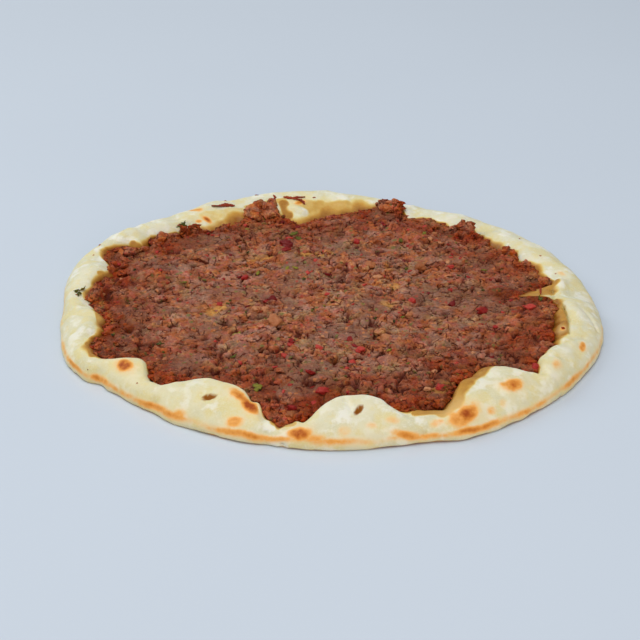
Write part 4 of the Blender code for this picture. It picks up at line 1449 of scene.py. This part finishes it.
def strips():
    """Narrow strips of pepper, thin, curled and pointed at their ends."""
    draw = np.random.default_rng(84)
    turn = np.linspace(0, 2 * math.pi, STRIP_SIDES, endpoint=False)
    parts, faces, tones = [], [], []
    for width, route in STRIPS:
        bends = np.array([spot_at(direction, distance * MM) for direction, distance in route])
        along = np.linspace(0, len(bends) - 1, STRIP_STEPS)
        numbers = np.arange(len(bends))
        line = np.stack([np.interp(along, numbers, bends[:, axis]) for axis in (0, 1)], -1)
        share = np.linspace(0, 1, STRIP_STEPS)
        taper = np.sin(math.pi * (0.06 + 0.88 * share)) ** 0.5
        taper = taper * (1 + 0.35 * draw.uniform(-1, 1, STRIP_STEPS))
        across = unit(np.gradient(line, axis=0)[:, ::-1] * (-1, 1))
        lean = 0.5 * np.sin(share * 5 + draw.uniform(0, 6))
        side = (width / 2 * MM * taper)[:, None] * np.cos(turn)
        thick = STRIP_HALF_THICK * np.sin(turn) + 0 * side
        under = np.concatenate((line, np.zeros((STRIP_STEPS, 1))), axis=1)
        lie = height_of(UNDER_CRUMBS, under) + STRIP_LIFT + 0.5 * MM * ripple(under, 4 * MM, 85)
        ring = line[:, None, :] + across[:, None, :] * (side - thick * lean[:, None])[..., None]
        high = lie[:, None] + thick + side * lean[:, None]
        rings = np.concatenate((ring, high[..., None]), -1)
        ends = rings[[0, -1]].mean(axis=1)
        start = sum(len(part) for part in parts)
        faces += [group + start for group in round_faces(STRIP_STEPS, STRIP_SIDES)]
        parts.append(np.concatenate((rings.reshape(-1, 3), ends)))
        tones.append(np.full(len(parts[-1]), draw.uniform(0.1, 0.6)))
    return formed("pepper_strips", np.concatenate(parts), faces, DRIED_PEPPER, (), "pepper",
                  tone=np.concatenate(tones))


strips()

# Dice of pepper and tomato that stand out: direction, distance, length, in mm.
RED_DICE = (
    (111, 59.5, 7.6), (113, 55, 4.6), (77, 62, 4.4), (155, 45, 3.6), (184, 27, 4.6), (47, 55, 4.0),
    (92, 23, 3.0), (112, 28, 3.0), (28, 67, 3.8), (353, 58, 4.0), (347, 73, 4.6), (355, 39, 3.4),
    (352, 94, 4.6), (321, 91, 3.4), (298, 98, 4.0), (263, 74, 4.0), (268, 87, 5.4), (265, 80, 5.6),
    (249, 48, 3.2), (251, 61, 5.0), (264, 50, 3.6), (283, 48, 4.6), (285, 53, 3.6), (282, 43, 3.4),
    (261, 102, 4.0), (283, 54, 3.0), (323, 112, 4.6), (108, 65, 4.0), (155, 48, 2.6),
    (186, 30, 3.2), (250, 52, 3.4), (326, 107, 5.6),
)
ONION_DICE = (
    (302, 49, 6.2), (225, 36, 6.6), (37, 56, 6.6), (19, 74, 4.4), (201, 37, 4.6), (203, 33, 4.4),
    (41, 31, 4.2), (335, 41, 4.4), (222, 39, 3.6), (76, 34, 3.6), (58, 38, 5.0), (261, 107, 4.2),
)
PARSLEY_LEAVES = (  # direction, distance, length and, for a leaf on others, how far it is lifted
    (126, 35, 4.2), (119, 34, 4.4), (119, 87, 4.6), (146, 42, 4.2), (59, 71, 5.2), (124, 22, 3.0),
    (182, 94, 5.6), (170, 71, 4.4), (165, 62, 4.0), (221, 56, 5.8), (211, 89, 4.2), (343, 54, 4.4),
    (329, 39, 3.6), (19, 80, 3.6), (356.6, 99, 4.6), (219, 37, 4.0), (250, 90, 7.0),
    (105, 71, 6.0), (54, 83, 4.2), (104, 64, 4.6), (296, 59, 3.4), (233, 71, 3.4),
    (177.2, 117.8, 4.6), (179.4, 118.6, 4.2), (178.2, 120.2, 3.8), (134.4, 104.2, 6.8, 0.8),
    (136.6, 104.0, 5.6, 0.4), (135.6, 104.6, 5.4, 2.0),
)
STREWN_INSET = 2 * MM  # how far inside the meat's edge small dice and leaves end
DICE_SUNK = 0.72  # share of its height that a strewn die is sunk in
CHOSEN_SUNK = DICE_SUNK - 0.22  # and one that stands out
DICE_KNOBS = 0.4


def dice(name, chosen, extra, sizes, material, slot, squareness, seed):
    """Dice that stand out, and smaller ones strewn over the meat, as one piece."""
    draw = np.random.default_rng(seed)
    chosen = np.array(chosen, float)
    spots = np.concatenate((
        spot_at(chosen[:, 0], chosen[:, 1] * MM), meat_spots(extra, draw, STREWN_INSET)))
    lengths = np.append(chosen[:, 2], draw.uniform(*sizes, extra)) * MM
    count = len(lengths)
    widths = lengths * draw.uniform(0.6, 0.95, count)
    heights = lengths * draw.uniform(0.4, 0.65, count)
    sunk = np.append(np.full(len(chosen), CHOSEN_SUNK), np.full(extra, DICE_SUNK))
    spots[:, 2] = height_of(UNDER_CRUMBS, spots) + heights * (0.5 - sunk)
    turns = draw.uniform(0, 6.3, count)
    leans = draw.normal(0, 0.35, count)
    sides = np.stack((lengths, widths, heights), -1)
    points, faces, _, each = knobbly(
        spots, sides, turns, leans, steps=3, knob=DICE_KNOBS, squareness=squareness, seed=seed)
    tone = np.repeat(draw.uniform(0, 1, count), each)
    return formed(name, points, [faces], material, (), slot, tone=tone)


dice("red_pepper_dice", RED_DICE, extra=110, sizes=(1.2, 2.8), material=PEPPER, slot="pepper",
     squareness=0.35, seed=81)
dice("onion_dice", ONION_DICE, extra=90, sizes=(1.4, 3.0), material=ONION, slot="onion",
     squareness=0.2, seed=82)

LEAF_POINTS = 16
LEAF_WIDTH = 0.55  # by its length
LEAF_HALF_THICK = 0.14 * MM
LEAF_LIFT = 0.35 * MM


def leaf_faces(count):
    """Faces of leaves that have a middle point and two rings above, and the same below."""
    near = np.arange(LEAF_POINTS)
    following = np.roll(near, -1)
    half = 1 + 2 * LEAF_POINTS
    inner, outer = 1 + near, 1 + LEAF_POINTS + near
    inner_next, outer_next = 1 + following, 1 + LEAF_POINTS + following
    fans = np.concatenate((
        np.stack((0 * near, inner, inner_next), -1),
        np.stack((0 * near + half, inner_next + half, inner + half), -1),
    ))
    quads = np.concatenate((
        np.stack((inner, outer, outer_next, inner_next), -1),
        np.stack((inner_next + half, outer_next + half, outer + half, inner + half), -1),
        np.stack((outer, outer + half, outer_next + half, outer_next), -1),
    ))
    shift = (np.arange(count) * 2 * half)[:, None, None]
    return [(fans[None] + shift).reshape(-1, 3), (quads[None] + shift).reshape(-1, 4)]


def leaves(name, chosen, extra, sizes, seed):
    """Torn, wilted bits of parsley leaf, each a thin curled blade with an uneven outline."""
    draw = np.random.default_rng(seed)
    chosen = np.array([(*leaf, 0.0)[:4] for leaf in chosen])
    spots = np.concatenate((
        spot_at(chosen[:, 0], chosen[:, 1] * MM), meat_spots(extra, draw, STREWN_INSET)))
    lengths = np.append(chosen[:, 2], draw.uniform(*sizes, extra)) * MM
    lifts = np.append(chosen[:, 3], np.zeros(extra)) * MM
    count = len(lengths)
    turn = np.linspace(0, 2 * math.pi, LEAF_POINTS, endpoint=False)
    reach = 0.5 * draw.uniform(0.4, 1.2, (count, LEAF_POINTS))
    rings = [reach * share for share in (0.5, 1.0)]
    flat = [
        np.stack((ring * np.cos(turn), ring * np.sin(turn) * LEAF_WIDTH), -1)
        for ring in rings
    ]
    flat = np.concatenate((np.zeros((count, 1, 2)), *flat), axis=1) * lengths[:, None, None]
    curl = draw.uniform(-0.35, 0.55, (count, 1)) / lengths[:, None]
    rise = curl * (flat[..., 0] ** 2 + 3 * flat[..., 1] ** 2)
    own = draw.uniform(0, 60, (count, 1, 3))
    crumpled = np.concatenate((flat / lengths[:, None, None], rise[..., None]), -1) * 2.6 + own
    rise = rise + 0.16 * lengths[:, None] * ripple(crumpled, 1.0, seed)
    upper = np.concatenate((flat, rise[..., None] + LEAF_HALF_THICK), -1)
    lower = np.concatenate((flat * 0.98, rise[..., None] - LEAF_HALF_THICK), -1)
    body = np.concatenate((upper, lower), axis=1)
    lean = np.append(draw.normal(0, 0.15, len(chosen)), draw.normal(0, 0.4, extra))
    body = turned_about(body, draw.uniform(0, 6.3, count), lean)
    spots[:, 2] = height_of(UNDER_CRUMBS, spots) + LEAF_LIFT + 0.05 * lengths + lifts
    points = (body + spots[:, None, :]).reshape(-1, 3)
    tone = np.append(draw.uniform(0.3, 0.95, len(chosen)), draw.uniform(0, 0.7, extra))
    tone = np.repeat(tone, body.shape[1])
    return formed(name, points, leaf_faces(count), PARSLEY, (), "parsley", tone=tone)


leaves("parsley_bits", PARSLEY_LEAVES, extra=60, sizes=(1.2, 3.0), seed=83)

# ------------------------------------------------------------------------- floor, light, camera

TABLE_REACH = 3.0
TABLE_CORNERS = ((-1, -1), (1, -1), (1, 1), (-1, 1))


def satin_paper():
    """Pale paper, pressed smooth: it has a soft gloss, and its blue varies a little."""
    material, tree, shader, place = new_material("satin_paper")
    cloudy = add(tree, "TexNoise", {"Vector": place, "Scale": 1 / (300 * MM), "Detail": 2.0})
    pale = add(tree, "ValToRGB", {0: cloudy}, ((0.3, "#c9d3dd"), (0.7, "#cbd5df")))
    tree.links.new(pale, shader.inputs["Base Color"])
    shader.inputs["Roughness"].default_value = 0.26
    return material


def table_top():
    """The table that the bread lies on, covered with paper."""
    mesh = bpy.data.meshes.new("table")
    corners = [(x * TABLE_REACH, y * TABLE_REACH, 0) for x, y in TABLE_CORNERS]
    mesh.from_pydata(corners, [], [(0, 1, 2, 3)])
    mesh.materials.append(satin_paper())
    table = bpy.data.objects.new("table", mesh)
    bpy.context.scene.collection.objects.link(table)


def lamp(name, spot, size, power, colour):
    """A square soft box that shines from a spot towards the bread."""
    light = bpy.data.lights.new(name, "AREA")
    light.shape = "SQUARE"
    light.size = size
    light.energy = power
    light.color = linear(colour)[:3]
    holder = bpy.data.objects.new(name, light)
    holder.location = spot
    holder.rotation_euler = (-Vector(spot)).to_track_quat("-Z", "Y").to_euler()
    bpy.context.scene.collection.objects.link(holder)
    return holder


table_top()
# A large soft box from the back left, a wide one overhead, and a low warm one from the front.
lamp("soft_box", (-1.4, 0.7, 1.2), size=1.2, power=13.5, colour="#fffdf8")
lamp("fill", (-0.15, -0.1, 2.0), size=1.6, power=20.0, colour="#f8faff")
low_front = lamp("low_front", (0.5, -1.75, 0.35), size=1.2, power=15.0, colour="#ffe8d2")
low_front.visible_glossy = False  # from behind, it would glare on the table

world = bpy.data.worlds.new("studio")
world.use_nodes = True
sky = world.node_tree.nodes["Background"]
sky.inputs["Color"].default_value = linear("#eef3fa")
sky.inputs["Strength"].default_value = 0.42
bpy.context.scene.world = world
bpy.context.scene.view_settings.view_transform = "Standard"

camera = bpy.data.cameras.new("camera")
camera.lens = 85.47
camera.sensor_width = 36
viewer = bpy.data.objects.new("camera", camera)
viewer.location = (-0.00393, -0.64300, 0.33582)
viewer.rotation_euler = (math.radians(62), 0, 0)  # looks down from 28 degrees above the table
bpy.context.scene.collection.objects.link(viewer)
bpy.context.scene.camera = viewer
